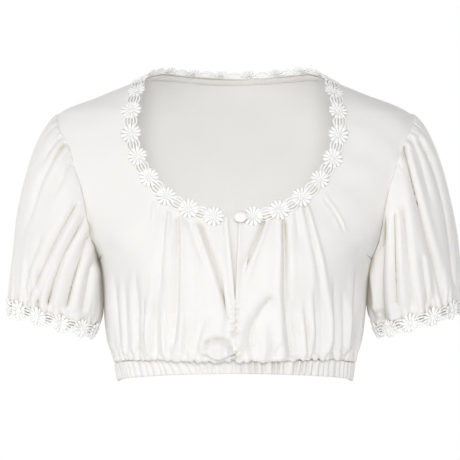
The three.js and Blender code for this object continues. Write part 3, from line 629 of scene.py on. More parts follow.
def vertex_normals(points, quads):
    """Each point's normal: the sum of its quads' normals, which are the cross products of their
    diagonals and so grow with their areas."""
    normal = np.cross(points[quads[:, 2]] - points[quads[:, 0]], points[quads[:, 3]] - points[quads[:, 1]])
    total = np.zeros_like(points)
    for k in range(4):
        np.add.at(total, quads[:, k], normal)
    return unit(total)


def grid_quads(index):
    """Quads of a grid of point numbers, its rows upwards and its columns to the right."""
    return np.stack([index[:-1, :-1], index[:-1, 1:], index[1:, 1:], index[1:, :-1]], axis=-1).reshape(-1, 4)


def ring_index(rows, columns, start=0):
    """Point numbers of a grid that closes on itself: the last column is the first one again."""
    index = start + np.arange(rows * columns).reshape(rows, columns)
    return np.concatenate([index, index[:, :1]], axis=1)


def wall(points, quads, thickness, depth=0):
    """A closed wall: the outer face, the inner face a thickness under it along the normals, and a
    rim of quads round each open edge. depth sinks the whole wall under the points."""
    normals = vertex_normals(points, quads)
    count = len(points)
    edges = np.concatenate([quads[:, [k, (k + 1) % 4]] for k in range(4)])
    code, back = edges[:, 0] * count + edges[:, 1], edges[:, 1] * count + edges[:, 0]
    rim = edges[~np.isin(code, back)]
    rim_quads = np.stack([rim[:, 1], rim[:, 0], rim[:, 0] + count, rim[:, 1] + count], axis=1)
    both = np.concatenate([points - depth * normals, points - (depth + thickness) * normals])
    return both, np.concatenate([quads, quads[:, ::-1] + count, rim_quads]), len(rim_quads)


def add_object(name, data):
    thing = bpy.data.objects.new(name, data)
    bpy.context.scene.collection.objects.link(thing)
    return thing


def make_piece(name, points, quads, material, uv=None, period=None, sharp_from=None):
    """A mesh object in metres at the origin. uv is one (u, v) a point in millimetres, and period is
    the length of u round a closed ring. Edges of the rim quads from sharp_from on are kept sharp."""
    mesh = bpy.data.meshes.new(name)
    mesh.from_pydata((points * METRES).tolist(), [], quads.tolist())
    if uv is not None:
        corners = uv[quads].astype(float)
        if period:
            wraps = np.ptp(corners[..., 0], axis=1) > period / 2
            low = corners[..., 0] < period / 2
            corners[..., 0] += np.where(wraps[:, None] & low, period, 0)
        layer = mesh.uv_layers.new(name="cloth")
        layer.data.foreach_set("uv", (corners * METRES).ravel())
    mesh.polygons.foreach_set("use_smooth", np.ones(len(quads), dtype=bool))
    if sharp_from is not None:
        rim = quads[sharp_from:]
        pairs = np.sort(np.concatenate([rim[:, [0, 1]], rim[:, [2, 3]]]), axis=1)
        ends = np.empty(len(mesh.edges) * 2, dtype=np.int32)
        mesh.edges.foreach_get("vertices", ends)
        ends = np.sort(ends.reshape(-1, 2), axis=1).astype(np.int64)
        count = len(points)
        is_rim = np.isin(ends[:, 0] * count + ends[:, 1], pairs[:, 0] * count + pairs[:, 1])
        mesh.edges.foreach_set("use_edge_sharp", is_rim)
    mesh.materials.append(material)
    mesh.update()
    piece = add_object(name, mesh)
    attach(piece, "root")
    return piece


def cloth_piece(name, points, quads, uv, material, thickness=CLOTH_THICKNESS, depth=0, period=None):
    """A panel of cloth: a closed wall under its points, with the same uv on both faces."""
    both, all_quads, rim = wall(points, quads, thickness, depth)
    sharp = len(all_quads) - rim
    return make_piece(name, both, all_quads, material, np.concatenate([uv, uv]), period, sharp)


def mirrored(points, quads, side):
    """Puts a left-hand shape on its side. On the wearer's right its quads are turned round, so that
    they still point outwards."""
    if side > 0:
        return points, quads
    return points * (-1, 1, 1), quads[:, ::-1]


def body_points(side, angle, height, keep=1):
    """Points of the cloth on the left-hand form: its place plus its fold along the normal."""
    tuck = TUCK_DEPTH * smooth(2.5, -TUCK_LENGTH, height - band_top(angle))
    fold = body_fold(side, angle, height) * keep - tuck
    base = form_point(angle, height)
    droop = swelling_field(side * base[..., 0], base[..., 2], "drop") * smooth(0, -6, base[..., 1])
    return base + form_normal(angle, height) * fold[..., None] - droop[..., None] * (0, 0, 1)


UV_A_RADIAN = 115


def body_uv(side, angle, height):
    """Wales run down the body: u is UV_A_RADIAN mm a radian round it, and v the height."""
    return np.stack([side * angle * UV_A_RADIAN, height + 0 * angle], axis=-1).reshape(-1, 2)


# Materials


def srgb(code):
    """A hex colour as linear RGBA."""
    parts = np.array([int(code[k : k + 2], 16) for k in (1, 3, 5)]) / 255
    linear = np.where(parts <= 0.04045, parts / 12.92, ((parts + 0.055) / 1.055) ** 2.4)
    return (*linear.tolist(), 1.0)


def add_node(tree, kind, inputs=None, **settings):
    """Adds a node. inputs gives each socket a value, or the socket that feeds it."""
    node = tree.nodes.new(kind)
    for name, value in settings.items():
        setattr(node, name, value)
    for name, value in (inputs or {}).items():
        if isinstance(value, bpy.types.NodeSocket):
            tree.links.new(value, node.inputs[name])
        else:
            node.inputs[name].default_value = value
    return node


def start_material(name):
    material = bpy.data.materials.new(name)
    material.use_nodes = True
    material.node_tree.nodes.clear()
    return material, material.node_tree


def threads(tree, place, pitch, way, uneven, detail, detail_scale):
    """Ridges a pitch apart, as many millimetres. A Wave texture repeats every 2 pi / 20 of its
    scaled coordinate, and its distortion makes them uneven."""
    node = add_node(
        tree, "ShaderNodeTexWave",
        {"Vector": place, "Scale": FULL_TURN / (20 * pitch * METRES), "Distortion": uneven,
         "Detail": detail, "Detail Scale": detail_scale},
        wave_type="BANDS", bands_direction=way, wave_profile="SIN",
    )
    return node.outputs["Fac"]


def noise(tree, place, scale, detail, roughness=0.5):
    inputs = {"Vector": place, "Scale": scale, "Detail": detail, "Roughness": roughness}
    return add_node(tree, "ShaderNodeTexNoise", inputs).outputs["Fac"]


def ramp(tree, fac, low, low_at, high, high_at):
    """Goes from one linear colour to another between two values."""
    node = add_node(tree, "ShaderNodeValToRGB", {"Fac": fac})
    for k, colour, place in ((0, low, low_at), (1, high, high_at)):
        node.color_ramp.elements[k].color = colour
        node.color_ramp.elements[k].position = place
    return node.outputs["Color"]


def bump(tree, height, distance, **more):
    inputs = {"Height": height, "Strength": 1.0, "Distance": distance * METRES, **more}
    return add_node(tree, "ShaderNodeBump", inputs).outputs["Normal"]


# Painted shade, laid on and not a property of the cloth: the light here leaves the folds paler and greyer
# than they are in the photo, so cloth with other cloth within this many millimetres is darkened towards the
# colour below
FOLD_DEPTH_SEEN = 9
PAINTED_SHADE_IN_FOLDS = "#e6dfd2"


def knit_material(name, light, shade, wale, course, relief, roughness, sheen, through=0.0):
    """Cotton knit. Ribs of loops run up the cloth (wales) and across it (courses), with slubs in the
    yarn and a faint unevenness of colour. Cloth in its folds is darkened by painted shade."""
    material, tree = start_material(name)
    uv = add_node(tree, "ShaderNodeTexCoord").outputs["UV"]
    up = threads(tree, uv, wale, "X", 0.6, 1.0, 2.0)
    over = threads(tree, uv, course, "Y", 0.8, 1.0, 2.0)
    loops = add_node(tree, "ShaderNodeMath", {0: up, 1: over}, operation="MULTIPLY").outputs[0]
    slubs = noise(tree, uv, 420, 4.0, 0.6)
    cloudy = noise(tree, uv, 26, 3.0, 0.55)
    tone = add_node(tree, "ShaderNodeMath", {0: cloudy, 1: loops, 2: 0.25}, operation="MULTIPLY_ADD")
    yarn = ramp(tree, tone.outputs[0], srgb(shade), 0.15, srgb(light), 0.6)
    fine = bump(tree, loops, relief)
    soft = bump(tree, slubs, 0.6 * relief, Normal=fine)
    # Painted shade: the colour darkens in folds, where other cloth lies within FOLD_DEPTH_SEEN mm
    openness = add_node(
        tree, "ShaderNodeAmbientOcclusion", {"Distance": FOLD_DEPTH_SEEN * METRES}, samples=8
    )
    painted_shade = ramp(tree, openness.outputs["AO"], srgb(PAINTED_SHADE_IN_FOLDS), 0.12, (1, 1, 1, 1), 0.7)
    colour = add_node(
        tree, "ShaderNodeMixRGB", {"Fac": 1.0, "Color1": yarn, "Color2": painted_shade}, blend_type="MULTIPLY"
    )
    shader = add_node(
        tree, "ShaderNodeBsdfPrincipled",
        {"Base Color": colour.outputs["Color"], "Roughness": roughness, "Normal": soft,
         "Sheen Weight": sheen, "Sheen Roughness": 0.45, "Specular IOR Level": 0.25,
         "Subsurface Weight": through, "Subsurface Scale": 0.0006, "Subsurface Radius": (1.0, 0.92, 0.82)},
    )
    add_node(tree, "ShaderNodeOutputMaterial", {"Surface": shader.outputs["BSDF"]})
    return material


def thread_material(name, light, shade, pitch, relief, roughness, sheen):
    """Cotton thread, wound or embroidered: fine turns across each strand, with fuzz over them."""
    material, tree = start_material(name)
    place = add_node(tree, "ShaderNodeTexCoord").outputs["Object"]
    turns = threads(tree, place, pitch, "DIAGONAL", 2.5, 2.0, 1.5)
    fuzz = noise(tree, place, 900, 3.0)
    yarn = ramp(tree, fuzz, srgb(shade), 0.3, srgb(light), 0.65)
    fine = bump(tree, turns, relief)
    shader = add_node(
        tree, "ShaderNodeBsdfPrincipled",
        {"Base Color": yarn, "Roughness": roughness, "Normal": fine,
         "Sheen Weight": sheen, "Sheen Roughness": 0.4, "Specular IOR Level": 0.35},
    )
    add_node(tree, "ShaderNodeOutputMaterial", {"Surface": shader.outputs["BSDF"]})
    return material


# Cotton single jersey, knitted and washed: matt and soft, warm white. Real wales are 0.8 mm apart,
# too fine to show at this size, so they are drawn 1.3 mm apart.
jersey = knit_material("cotton_jersey", "#ecebe9", "#e6e5e3", 1.3, 1.7, 0.035, 0.88, 0.2, 0.35)
# The same jersey over woven elastic: pulled into ribs, so its loops stand closer
casing = knit_material("jersey_over_elastic", "#ebeae8", "#e4e3e1", 1.2, 1.6, 0.05, 0.85, 0.25)
# Plain cotton tape that binds the back neck, woven: finer and flatter than the jersey
tape = knit_material("woven_cotton_tape", "#eae8e5", "#e2e0dc", 0.9, 0.9, 0.06, 0.8, 0.15)
# Guipure: cotton embroidered on a ground that is washed away, brighter than the cloth
lace_thread = thread_material("cotton_guipure_lace", "#f9f9f8", "#f5f5f4", 0.7, 0.04, 0.7, 0.3)
# Cotton sewing thread
sewing_thread = thread_material("cotton_sewing_thread", "#ebe9e5", "#dfddd8", 0.5, 0.05, 0.6, 0.2)
# A button mould covered in fine cotton sateen: smooth, with a faint shine
sateen = knit_material("covered_button_sateen", "#f8f7f5", "#f0eeeb", 0.5, 0.5, 0.03, 0.45, 0.35)


# Fronts and back

FRONT_COLUMNS = 176
FRONT_LOW_ROWS = 30
FRONT_ROWS = 104
STRAP_ROWS = 48
BACK_COLUMNS = 136
BACK_ROWS = 120
# The back's lowest rows lie closer, for its gathers
BACK_LOW_ROWS = 14
BACK_LOW_SHARE = 0.06
LOW_SHARE = 0.13
ARMHOLE_ROLL = 0.5
ARMHOLE_FADE = 0.035


def armhole_keep(to_edge, on_armhole):
    """How much of its folds the cloth keeps: they die away near the armhole."""
    return 1 - (1 - smooth(0, ARMHOLE_FADE, to_edge)) * on_armhole


def armhole_roll(to_edge, on_armhole, height):
    """The turned seam of the armhole, a thin roll that dies away under the arm."""
    return ARMHOLE_ROLL * bell((to_edge - 0.008) / 0.009) * on_armhole * smooth(-190, -160, height)


def front_grid(side):
    """One front: a patch from the band up to the neckline and the chest line, and a strap patch
    from there to the shoulder. Returns angles, heights and quads, and how far its folds are kept
    near the armhole and the shoulder seam."""
    lower_neck, upper_neck, _ = front_neck(side)
    corner = [float(k) for k in lower_neck(1.0)]
    chest_end = [float(k) for k in armhole_spot(QUARTER, True)]
    start = [float(k) for k in lower_neck(0.0)]

    def chest_line(t):
        sag = CHEST_LINE_SAG * np.sin(math.pi * t)
        return mix(corner[0], chest_end[0], t), mix(corner[1], chest_end[1], t) - sag

    def centre(v):
        height = mix(band_top(0) - TUCK_LENGTH, start[1], v)
        return front_angle(slit_half_width(side, height, start[1]), height), height

    first = float(centre(np.zeros(1))[0][0])

    columns = np.linspace(0, 1, FRONT_COLUMNS + 1)
    low = np.linspace(0, LOW_SHARE, FRONT_LOW_ROWS, endpoint=False)
    rows = np.concatenate([low, np.linspace(LOW_SHARE, 1, FRONT_ROWS - FRONT_LOW_ROWS + 1)])
    angle, height = patch(
        tucked_edge(first),
        joined(lower_neck, chest_line, NECK_CORNER_SHARE),
        centre,
        joined(side_seam_spot, lambda t: armhole_spot(mix(math.pi, QUARTER, t), True), FRONT_UNDERARM),
        columns, rows,
    )
    corner_column = round(NECK_CORNER_SHARE * FRONT_COLUMNS)
    strap_columns = np.linspace(0, 1, FRONT_COLUMNS - corner_column + 1)
    strap_rows = np.linspace(0, 1, STRAP_ROWS + 1)[1:]
    strap_angle, strap_height = patch(
        chest_line, shoulder_spot, upper_neck,
        lambda t: armhole_spot(mix(QUARTER, 0, t), True),
        strap_columns, np.concatenate([[0], strap_rows]),
    )
    index = np.arange(angle.size).reshape(angle.shape)
    strap_index = angle.size + np.arange(strap_angle[1:].size).reshape(strap_angle[1:].shape)
    strap_index = np.concatenate([index[-1:, corner_column:], strap_index])
    quads = np.concatenate([grid_quads(index), grid_quads(strap_index)])

    to_edge = np.broadcast_to(1 - columns[None, :], angle.shape)
    strap_to_edge = np.broadcast_to((1 - strap_columns) * (1 - NECK_CORNER_SHARE), strap_angle[1:].shape)
    to_edge = np.concatenate([to_edge.ravel(), strap_to_edge.ravel()])
    on_armhole = np.concatenate([
        np.broadcast_to(above_underarm(rows, FRONT_UNDERARM), angle.shape).ravel(),
        np.ones(strap_angle[1:].size),
    ])
    to_shoulder = np.concatenate([np.ones(angle.size), np.repeat(1 - strap_rows, strap_columns.size)])
    angle = np.concatenate([angle.ravel(), strap_angle[1:].ravel()])
    height = np.concatenate([height.ravel(), strap_height[1:].ravel()])
    return np.minimum(angle, QUARTER), height, quads, to_edge, on_armhole, to_shoulder


def front_panel(side, name):
    """A front with its folds. Near the armhole they die away, and the turned seam stands up as a
    thin roll; the slit's folded edge is a low roll too."""
    angle, height, quads, to_edge, on_armhole, to_shoulder = front_grid(side)
    keep = armhole_keep(to_edge, on_armhole) * smooth(0, 0.08, to_shoulder)
    points = body_points(side, angle, height, keep)
    normal = form_normal(angle, height)
    roll = armhole_roll(to_edge, on_armhole, height)
    from_slit = form_point(angle, height)[:, 0] - slit_half_width(side, height)
    slit = smooth(SLIT_BOTTOM - 4, SLIT_BOTTOM + 10, height) * (height < -120)
    roll = roll + SLIT_EDGE_ROLL * bell((from_slit - 1.2) / 1.6) * slit
    roll = roll - 0.5 * bell((from_slit - 4.6) / 0.9) * slit
    points, quads = mirrored(points + normal * roll[:, None], quads, side)
    piece = cloth_piece(name, points, quads, body_uv(side, angle, height), jersey)
    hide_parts(name)
    return piece


def back_panel():
    """The back from side seam to side seam: one patch for each half, which share the centre back."""

    def centre(v):
        low = mix(float(band_top(math.pi)) - TUCK_LENGTH, UNDERARM_HEIGHT, np.clip(v / BACK_UNDERARM, 0, 1))
        t = np.clip((v - BACK_UNDERARM) / (1 - BACK_UNDERARM), 0, 1)
        high = mix(UNDERARM_HEIGHT, BACK_NECK_HEIGHT, 1 - (1 - t) ** 1.25)
        return math.pi + 0 * v, np.where(v <= BACK_UNDERARM, low, high)

    columns = np.linspace(0, 1, BACK_COLUMNS + 1)
    low = np.linspace(0, BACK_LOW_SHARE, BACK_LOW_ROWS, endpoint=False)
    rows = np.concatenate([low, np.linspace(BACK_LOW_SHARE, 1, BACK_ROWS - BACK_LOW_ROWS + 1)])
    angle, height = patch(
        tucked_edge(math.pi),
        joined(by_length(back_neck_spot), shoulder_spot, BACK_NECK_SHARE),
        centre,
        joined(side_seam_spot, lambda t: armhole_spot(mix(math.pi, 0, t), False), BACK_UNDERARM),
        columns, rows, BACK_TOP_POWER,
    )
    angle = np.maximum(angle, QUARTER)
    on_armhole = above_underarm(rows, BACK_UNDERARM)
    to_edge = 1 - columns[None, :]
    at_shoulder = smooth(0.95, 1, rows)[:, None] * smooth(BACK_NECK_SHARE, BACK_NECK_SHARE + 0.1, columns)
    keep = armhole_keep(to_edge, on_armhole) * (1 - at_shoulder)
    roll = armhole_roll(to_edge, on_armhole, height)
    halves, uvs = [], []
    for side in (-1, 1):
        points = body_points(side, angle, height, keep)
        points = points + form_normal(angle, height) * roll[..., None]
        points[..., 0] *= side
        uv = body_uv(side, angle, height).reshape(*angle.shape, 2)
        halves.append(points[:, ::-1] if side < 0 else points)
        uvs.append(uv[:, ::-1] if side < 0 else uv + (-2 * UV_A_RADIAN * math.pi, 0))
    points = np.concatenate([halves[1][:, ::-1], halves[0][:, ::-1][:, 1:]], axis=1)
    uv = np.concatenate([uvs[1][:, ::-1], uvs[0][:, ::-1][:, 1:]], axis=1)
    quads = grid_quads(np.arange(points[..., 0].size).reshape(points.shape[:2]))
    piece = cloth_piece("back", points.reshape(-1, 3), quads, uv.reshape(-1, 2), jersey)
    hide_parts("back")
    return piece


UNDERLAP_ROWS = 70
UNDERLAP_COLUMNS = 25
UNDERLAP_DEPTH = 2.2


def slit_underlap():
    """The strip behind the slit, UNDERLAP_DEPTH under the form: 18 mm wide at its foot, and 34 mm
    at its top, where it lies 1.5 mm to the wearer's right."""
    rows = np.linspace(0, 1, UNDERLAP_ROWS)
    columns = np.linspace(-1, 1, UNDERLAP_COLUMNS)
    height = mix(SLIT_BOTTOM - 22, SLIT_TOP - 0.5, rows)[:, None]
    height = np.broadcast_to(height, (UNDERLAP_ROWS, UNDERLAP_COLUMNS))
    half = 9 + 8 * rows[:, None]
    x = columns[None, :] * half - 1.5 * rows[:, None]
    angle = front_angle(np.abs(x), height)
    points = form_point(angle, height) - form_normal(angle, height) * UNDERLAP_DEPTH
    ribs = 0.22 * np.sin(x * 1.7 + 0.4 * np.sin(height / 9))
    points = points + form_normal(angle, height) * ribs[..., None]
    points[..., 0] *= np.sign(x + 1e-9)
    quads = grid_quads(np.arange(x.size).reshape(x.shape))
    uv = np.stack([x, height], axis=-1).reshape(-1, 2)
    piece = cloth_piece("slit_underlap", points.reshape(-1, 3), quads, uv, jersey)
    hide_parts("slit_underlap")
    return piece


front_right = front_panel(-1, "front_right")
front_left = front_panel(1, "front_left")
back = back_panel()
underlap = slit_underlap()


# Sleeves

SLEEVE_COLUMNS = 320
SLEEVE_ROWS = 136
# Folds move the cloth this many times more to the front and back than to the sides
FOLD_PRESS = 2.2
UNDERARM_FULLNESS = 2.6
BEHIND_OUT = 3
BEHIND_DOWN = 9
BEHIND_SHARE = 0.85
CUFF_AROUND = math.pi * (CUFF_RADIUS_ACROSS + CUFF_RADIUS_DEEP)
hem_puckers = {side: valley_row(38, CUFF_AROUND, 31 + side, 52, 3.6) for side in (-1, 1)}
hem_gathers = {side: valley_row(19, CUFF_AROUND, 21 + side, 96, 3.6) for side in (-1, 1)}
cap_gathers = {side: valley_row(46, CUFF_AROUND, 41 + side, 36, 2.6) for side in (-1, 1)}


def armhole_place(turn):
    """A place on the armhole seam. turn runs from the shoulder tip over the front, the underarm
    (180 degrees) and the back."""
    turn = np.mod(turn, FULL_TURN)
    front = turn <= math.pi
    angle, height = armhole_spot(np.where(front, turn, FULL_TURN - turn), front)
    return form_point(angle, height), form_normal(angle, height)


def sleeve_start(turn):
    """Just off the armhole seam, and lifted outside the side seam under the arm."""
    start, normal = armhole_place(turn)
    tangent = unit(armhole_place(turn + 0.05)[0] - start)
    away = unit(np.cross(normal, tangent))
    middle = form_point(QUARTER, (SHOULDER_TIP_HEIGHT + UNDERARM_HEIGHT) / 2)
    away = away * np.where(np.sum(away * (middle - start), axis=-1) < 0, -1, 1)[..., None]
    under_arm = ((1 - np.cos(turn)) / 2)[..., None]
    return start - away * SLEEVE_TUCK + normal * under_arm * SLEEVE_SEAM_LIFT


def sleeve_point(turn, share):
    """A Hermite cubic from the armhole to the cuff ring for every turn round the arm. It leaves and
    arrives by directions that blend from the top over the sides to the underarm."""
    turn, share = np.broadcast_arrays(np.asarray(turn, float), np.asarray(share, float))
    c, s = np.cos(turn), np.sin(turn)
    on_top, under_arm = ((1 + c) / 2) ** 2, ((1 - c) / 2) ** 2
    shares = on_top, 1 - on_top - under_arm, under_arm

    def blend(values):
        return sum(value * part for value, part in zip(values, shares))

    leave = np.stack([blend(SLEEVE_LEAVE_OUT), -s * SLEEVE_LEAVE_FORWARD, -blend(SLEEVE_LEAVE_DOWN)], axis=-1)
    arrive = np.stack([blend(SLEEVE_ARRIVE_OUT), s * SLEEVE_CLOSE_IN, -blend(SLEEVE_ARRIVE_DOWN)], axis=-1)
    ring = (
        CUFF_CENTRE[0] + math.cos(CUFF_LEAN) * CUFF_RADIUS_ACROSS * c,
        CUFF_CENTRE[1] - CUFF_RADIUS_DEEP * s,
        CUFF_CENTRE[2] + math.sin(CUFF_LEAN) * CUFF_RADIUS_ACROSS * c,
    )
    t = np.minimum(share, 1)[..., None]
    place = sleeve_start(turn) * (2 * t**3 - 3 * t * t + 1) + leave * (t**3 - 2 * t * t + t)
    place = place + np.stack(ring, axis=-1) * (3 * t * t - 2 * t**3)
    return place + arrive * (t**3 - t * t + np.maximum(0, share - 1)[..., None])


def sleeve_normal(turn, share):
    """Out of the sleeve: the cross product of its steps round the arm and down it."""
    small = 0.02
    round_it = sleeve_point(turn + small, share) - sleeve_point(turn - small, share)
    down_it = sleeve_point(turn, share + small) - sleeve_point(turn, np.maximum(0, share - small))
    return unit(np.cross(round_it, down_it))


def sleeve_fold(side, turn, share):
    """Creases in the front view, others like them behind, gathers into the hem all round, and
    gathers into the cap on top."""
    turn, share = np.broadcast_arrays(np.asarray(turn, float), np.asarray(share, float))
    base = sleeve_point(turn, share)
    x, y, z = base[..., 0], base[..., 1], base[..., 2]
    creases = RIGHT_SLEEVE_CREASES if side < 0 else LEFT_SLEEVE_CREASES
    ahead = smooth(-8, 10, -y)
    folds = crease_field(x, z, creases) * ahead
    behind = crease_field(x - BEHIND_OUT * side, z + BEHIND_DOWN, creases[::-1])
    folds += behind * smooth(-8, 10, y) * BEHIND_SHARE
    place = np.mod(turn, FULL_TURN) / FULL_TURN * CUFF_AROUND
    from_hem = np.maximum(0, 1 - share) * SLEEVE_LENGTH
    from_cap = share * SLEEVE_LENGTH
    folds += gather_field(place, from_hem, hem_gathers[side]) * smooth(0, 8, from_hem)
    folds += gather_field(place, from_hem, hem_puckers[side])
    on_top = smooth(-0.25, 0.45, np.cos(turn))
    folds += gather_field(place, from_cap, cap_gathers[side]) * on_top * smooth(0, 4, from_cap)
    folds += slow_waves(x, z + y, 8 + side)
    under_arm = bell((turn - math.pi) / 0.5)
    folds += UNDERARM_FULLNESS * under_arm * smooth(0.08, 0.3, share) * smooth(1, 0.75, share)
    return folds * smooth(0, 0.03, share) - TUCK_DEPTH * smooth(0.02, 0, share)


def sleeve(side, name):
    """A sleeve, closed round the arm."""
    turn = np.linspace(0, FULL_TURN, SLEEVE_COLUMNS, endpoint=False)[None, :]
    share = np.linspace(0, 1, SLEEVE_ROWS + 1)[:, None]
    fold = sleeve_fold(side, turn, share)
    press = unit(sleeve_normal(turn, share) * (1, FOLD_PRESS, 1))
    points = sleeve_point(turn, share) + press * fold[..., None]
    quads = grid_quads(ring_index(SLEEVE_ROWS + 1, SLEEVE_COLUMNS))[:, ::-1]
    points, quads = mirrored(points.reshape(-1, 3), quads, side)
    uv = np.stack(np.broadcast_arrays(turn / FULL_TURN * CUFF_AROUND, -share * SLEEVE_LENGTH), axis=-1)
    piece = cloth_piece(name, points, quads, uv.reshape(-1, 2), jersey, period=CUFF_AROUND)
    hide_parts(name)
    return piece


sleeve_right = sleeve(-1, "sleeve_right")
sleeve_left = sleeve(1, "sleeve_left")


# Waistband

BAND_COLUMNS_PER_RIB = 10
BAND_FACE_ROWS = 14


def waistband():
    """A ring of casing. Across the outer face a rib stands |sin(pi n)|^1.3 high, where n counts the
    valleys along the band and leans a little from its lower to its upper edge. The ribs are lower
    at the lower edge. The inner face is the same ribs turned in, half as high."""
    columns = BAND_RIBS * BAND_COLUMNS_PER_RIB
    place = np.linspace(0, BAND_AROUND, columns, endpoint=False)
    order = np.argsort(waist_puckers.place)
    centres = waist_puckers.place[order]
    tall = waist_puckers.deep[order] / waist_puckers.deep.mean()
    padded_centres = np.concatenate([centres[-2:] - BAND_AROUND, centres, centres[:2] + BAND_AROUND])
    count = np.arange(-2, BAND_RIBS + 2)
    padded_tall = np.concatenate([tall[-2:], tall, tall[:2]])
    up = np.linspace(0, 1, BAND_FACE_ROWS)[:, None]
    lean = (1.5 + 4.5 * bell((place - BAND_AROUND + 60) / 55) + 2.0 * np.sin(place / 17.0)) * (up - 0.5)
    ribs_at = np.interp(place[None, :] + lean, padded_centres, count)
    rib_tall = np.interp(place[None, :] + lean, padded_centres, padded_tall)
    rib = RIB_HEIGHT * rib_tall * np.abs(np.sin(math.pi * ribs_at)) ** 1.3
    rib = rib * (0.6 + 0.75 * bell((place - 45) / 40))
    edge = 1 - 0.45 * np.maximum(0, 1 - 2 * up) ** 4
    left = place <= BAND_AROUND / 2
    angle = np.interp(np.where(left, place, BAND_AROUND - place), band_run, band_angles)
    side = np.where(left, 1, -1)
    height = band_bottom(angle)[None, :] + BAND_HEIGHT * up
    normal = form_normal(angle[None, :], height)
    form = form_point(angle[None, :], height)
    outer = form + normal * ((rib - 0.5) * edge)[..., None]
    inner = form - normal * (BAND_THICKNESS - 0.5 * (RIB_HEIGHT - rib) * edge)[..., None]
    loop = np.concatenate([outer, inner[::-1]])
    loop[..., 0] *= side
    index = ring_index(2 * BAND_FACE_ROWS, columns)
    index = np.concatenate([index, index[:1]])
    v = np.concatenate([up[:, 0], 2 - up[::-1, 0]]) * BAND_HEIGHT
    uv = np.stack(np.broadcast_arrays(place[None, :], v[:, None]), axis=-1).reshape(-1, 2)
    piece = make_piece("waistband", loop.reshape(-1, 3), grid_quads(index), casing, uv, BAND_AROUND)
    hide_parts("waistband")
    return piece


band = waistband()


# Cords and stitches


def end_caps(rings, sides):
    """Quads that close both ends of a tube, in a fan from the first point of each end."""
    last = (rings - 1) * sides
    fan = range(1, sides - 2, 2)
    first_cap = [[0, sides - k, sides - k - 1, sides - k - 2] for k in fan]
    last_cap = [[last, last + k, last + k + 1, last + k + 2] for k in fan]
    return np.array(first_cap + last_cap)


def tube(path, radius, sides=8):
    """A cord with closed ends: rings square to its path, whose points turn round the tangent."""
    path = np.asarray(path, float)
    tangent = unit(np.gradient(path, axis=0))
    across = unit(np.cross(tangent, (0.31, 0.42, 0.85)))
    over = np.cross(tangent, across)
    turn = np.linspace(0, FULL_TURN, sides, endpoint=False)[None, :, None]
    radius = np.broadcast_to(np.asarray(radius, float), len(path))[:, None, None]
    rings = path[:, None] + radius * (np.cos(turn) * across[:, None] + np.sin(turn) * over[:, None])
    quads = grid_quads(ring_index(len(path), sides))
    return rings.reshape(-1, 3), np.concatenate([quads, end_caps(len(path), sides)])


def stitch_row(path, normals, pitch, length=2.0, radius=0.28):
    """A row of stitches along a path, each a little six-sided lozenge of thread on the cloth."""
    run = running_length(path)
    places = np.arange(pitch, run[-1] - pitch, pitch)

    def at(values, s):
        return np.stack([np.interp(s, run, values[:, k]) for k in range(3)], axis=-1)

    middle, out = at(path, places), unit(at(normals, places))
    along = unit(at(path, places + 0.4) - at(path, places - 0.4))
    across = unit(np.cross(out, along))
    ring_share = np.array([-1, -0.6, 0, 0.6, 1]) * length / 2
    ring_width = np.array([0.25, 0.85, 1, 0.85, 0.25]) * radius
    ring_sink = np.array([-0.25, 0.05, 0.16, 0.05, -0.25])
    turn = np.linspace(0, FULL_TURN, 6, endpoint=False)
    spot = middle[:, None, None] + along[:, None, None] * ring_share[None, :, None, None]
    spot = spot + out[:, None, None] * ring_sink[None, :, None, None]
    offset = across[:, None, None] * np.cos(turn)[None, None, :, None]
    offset = offset + out[:, None, None] * np.sin(turn)[None, None, :, None]
    points = spot + offset * ring_width[None, :, None, None]
    template = np.concatenate([grid_quads(ring_index(5, 6)), end_caps(5, 6)])
    quads = template[None] + 30 * np.arange(len(places))[:, None, None]
    return points.reshape(-1, 3), quads.reshape(-1, 4)


def gathered(parts):
    """Several (points, quads) as one."""
    points, quads, start = [], [], 0
    for part_points, part_quads in parts:
        points.append(part_points)
        quads.append(part_quads + start)
        start += len(part_points)
    return np.concatenate(points), np.concatenate(quads)


# Daisy lace

DAISY_RADIUS = 11.4
DAISY_PETALS = 12
LACE_LIFT = 0.9
CUFF_LACE_LIFT = 2.4
CUFF_LACE_DROP = 3
# Cords from each daisy to the next: how far off the chain's middle each one runs, and its radius
LACE_LINKS = [(-5.2, 1.0), (-2.6, 1.0), (0, 0.9), (2.6, 1.0), (5.2, 1.0)]
FRONT_NECK_DAISIES = 9
BACK_NECK_DAISIES = 8
CUFF_DAISIES = 12


def petal():
    """A padded petal along +X: six-sided rings, narrow at the eye and widest near the tip."""
    along = np.array([2.6, 4.8, 7.4, 9.8, 11.2])
    wide = np.array([0.7, 1.3, 2.0, 2.1, 0.9])
    thick = np.array([0.45, 0.65, 0.85, 0.8, 0.35])
    turn = np.linspace(0, FULL_TURN, 6, endpoint=False)
    x = np.broadcast_to(along[:, None], (5, 6))
    y = wide[:, None] * np.cos(turn)
    z = thick[:, None] * np.sin(turn)
    quads = np.concatenate([grid_quads(ring_index(5, 6)), end_caps(5, 6)])
    return np.stack([x, y, z], axis=-1).reshape(-1, 3), quads


def ring_of_thread(radius, thick, columns, sides=5, lift=0.0):
    """A ring lying flat: a small circle carried round a big one."""
    turn = np.linspace(0, FULL_TURN, columns, endpoint=False)[:, None]
    round_it = np.linspace(0, FULL_TURN, sides, endpoint=False)[None, :]
    reach = radius + thick * np.cos(round_it)
    points = np.stack(
        [reach * np.cos(turn), reach * np.sin(turn), lift + thick * np.sin(round_it) + 0 * turn], axis=-1
    )
    index = ring_index(columns, sides)
    index = np.concatenate([index, index[:1]])
    return points.reshape(-1, 3), grid_quads(index)[:, ::-1]


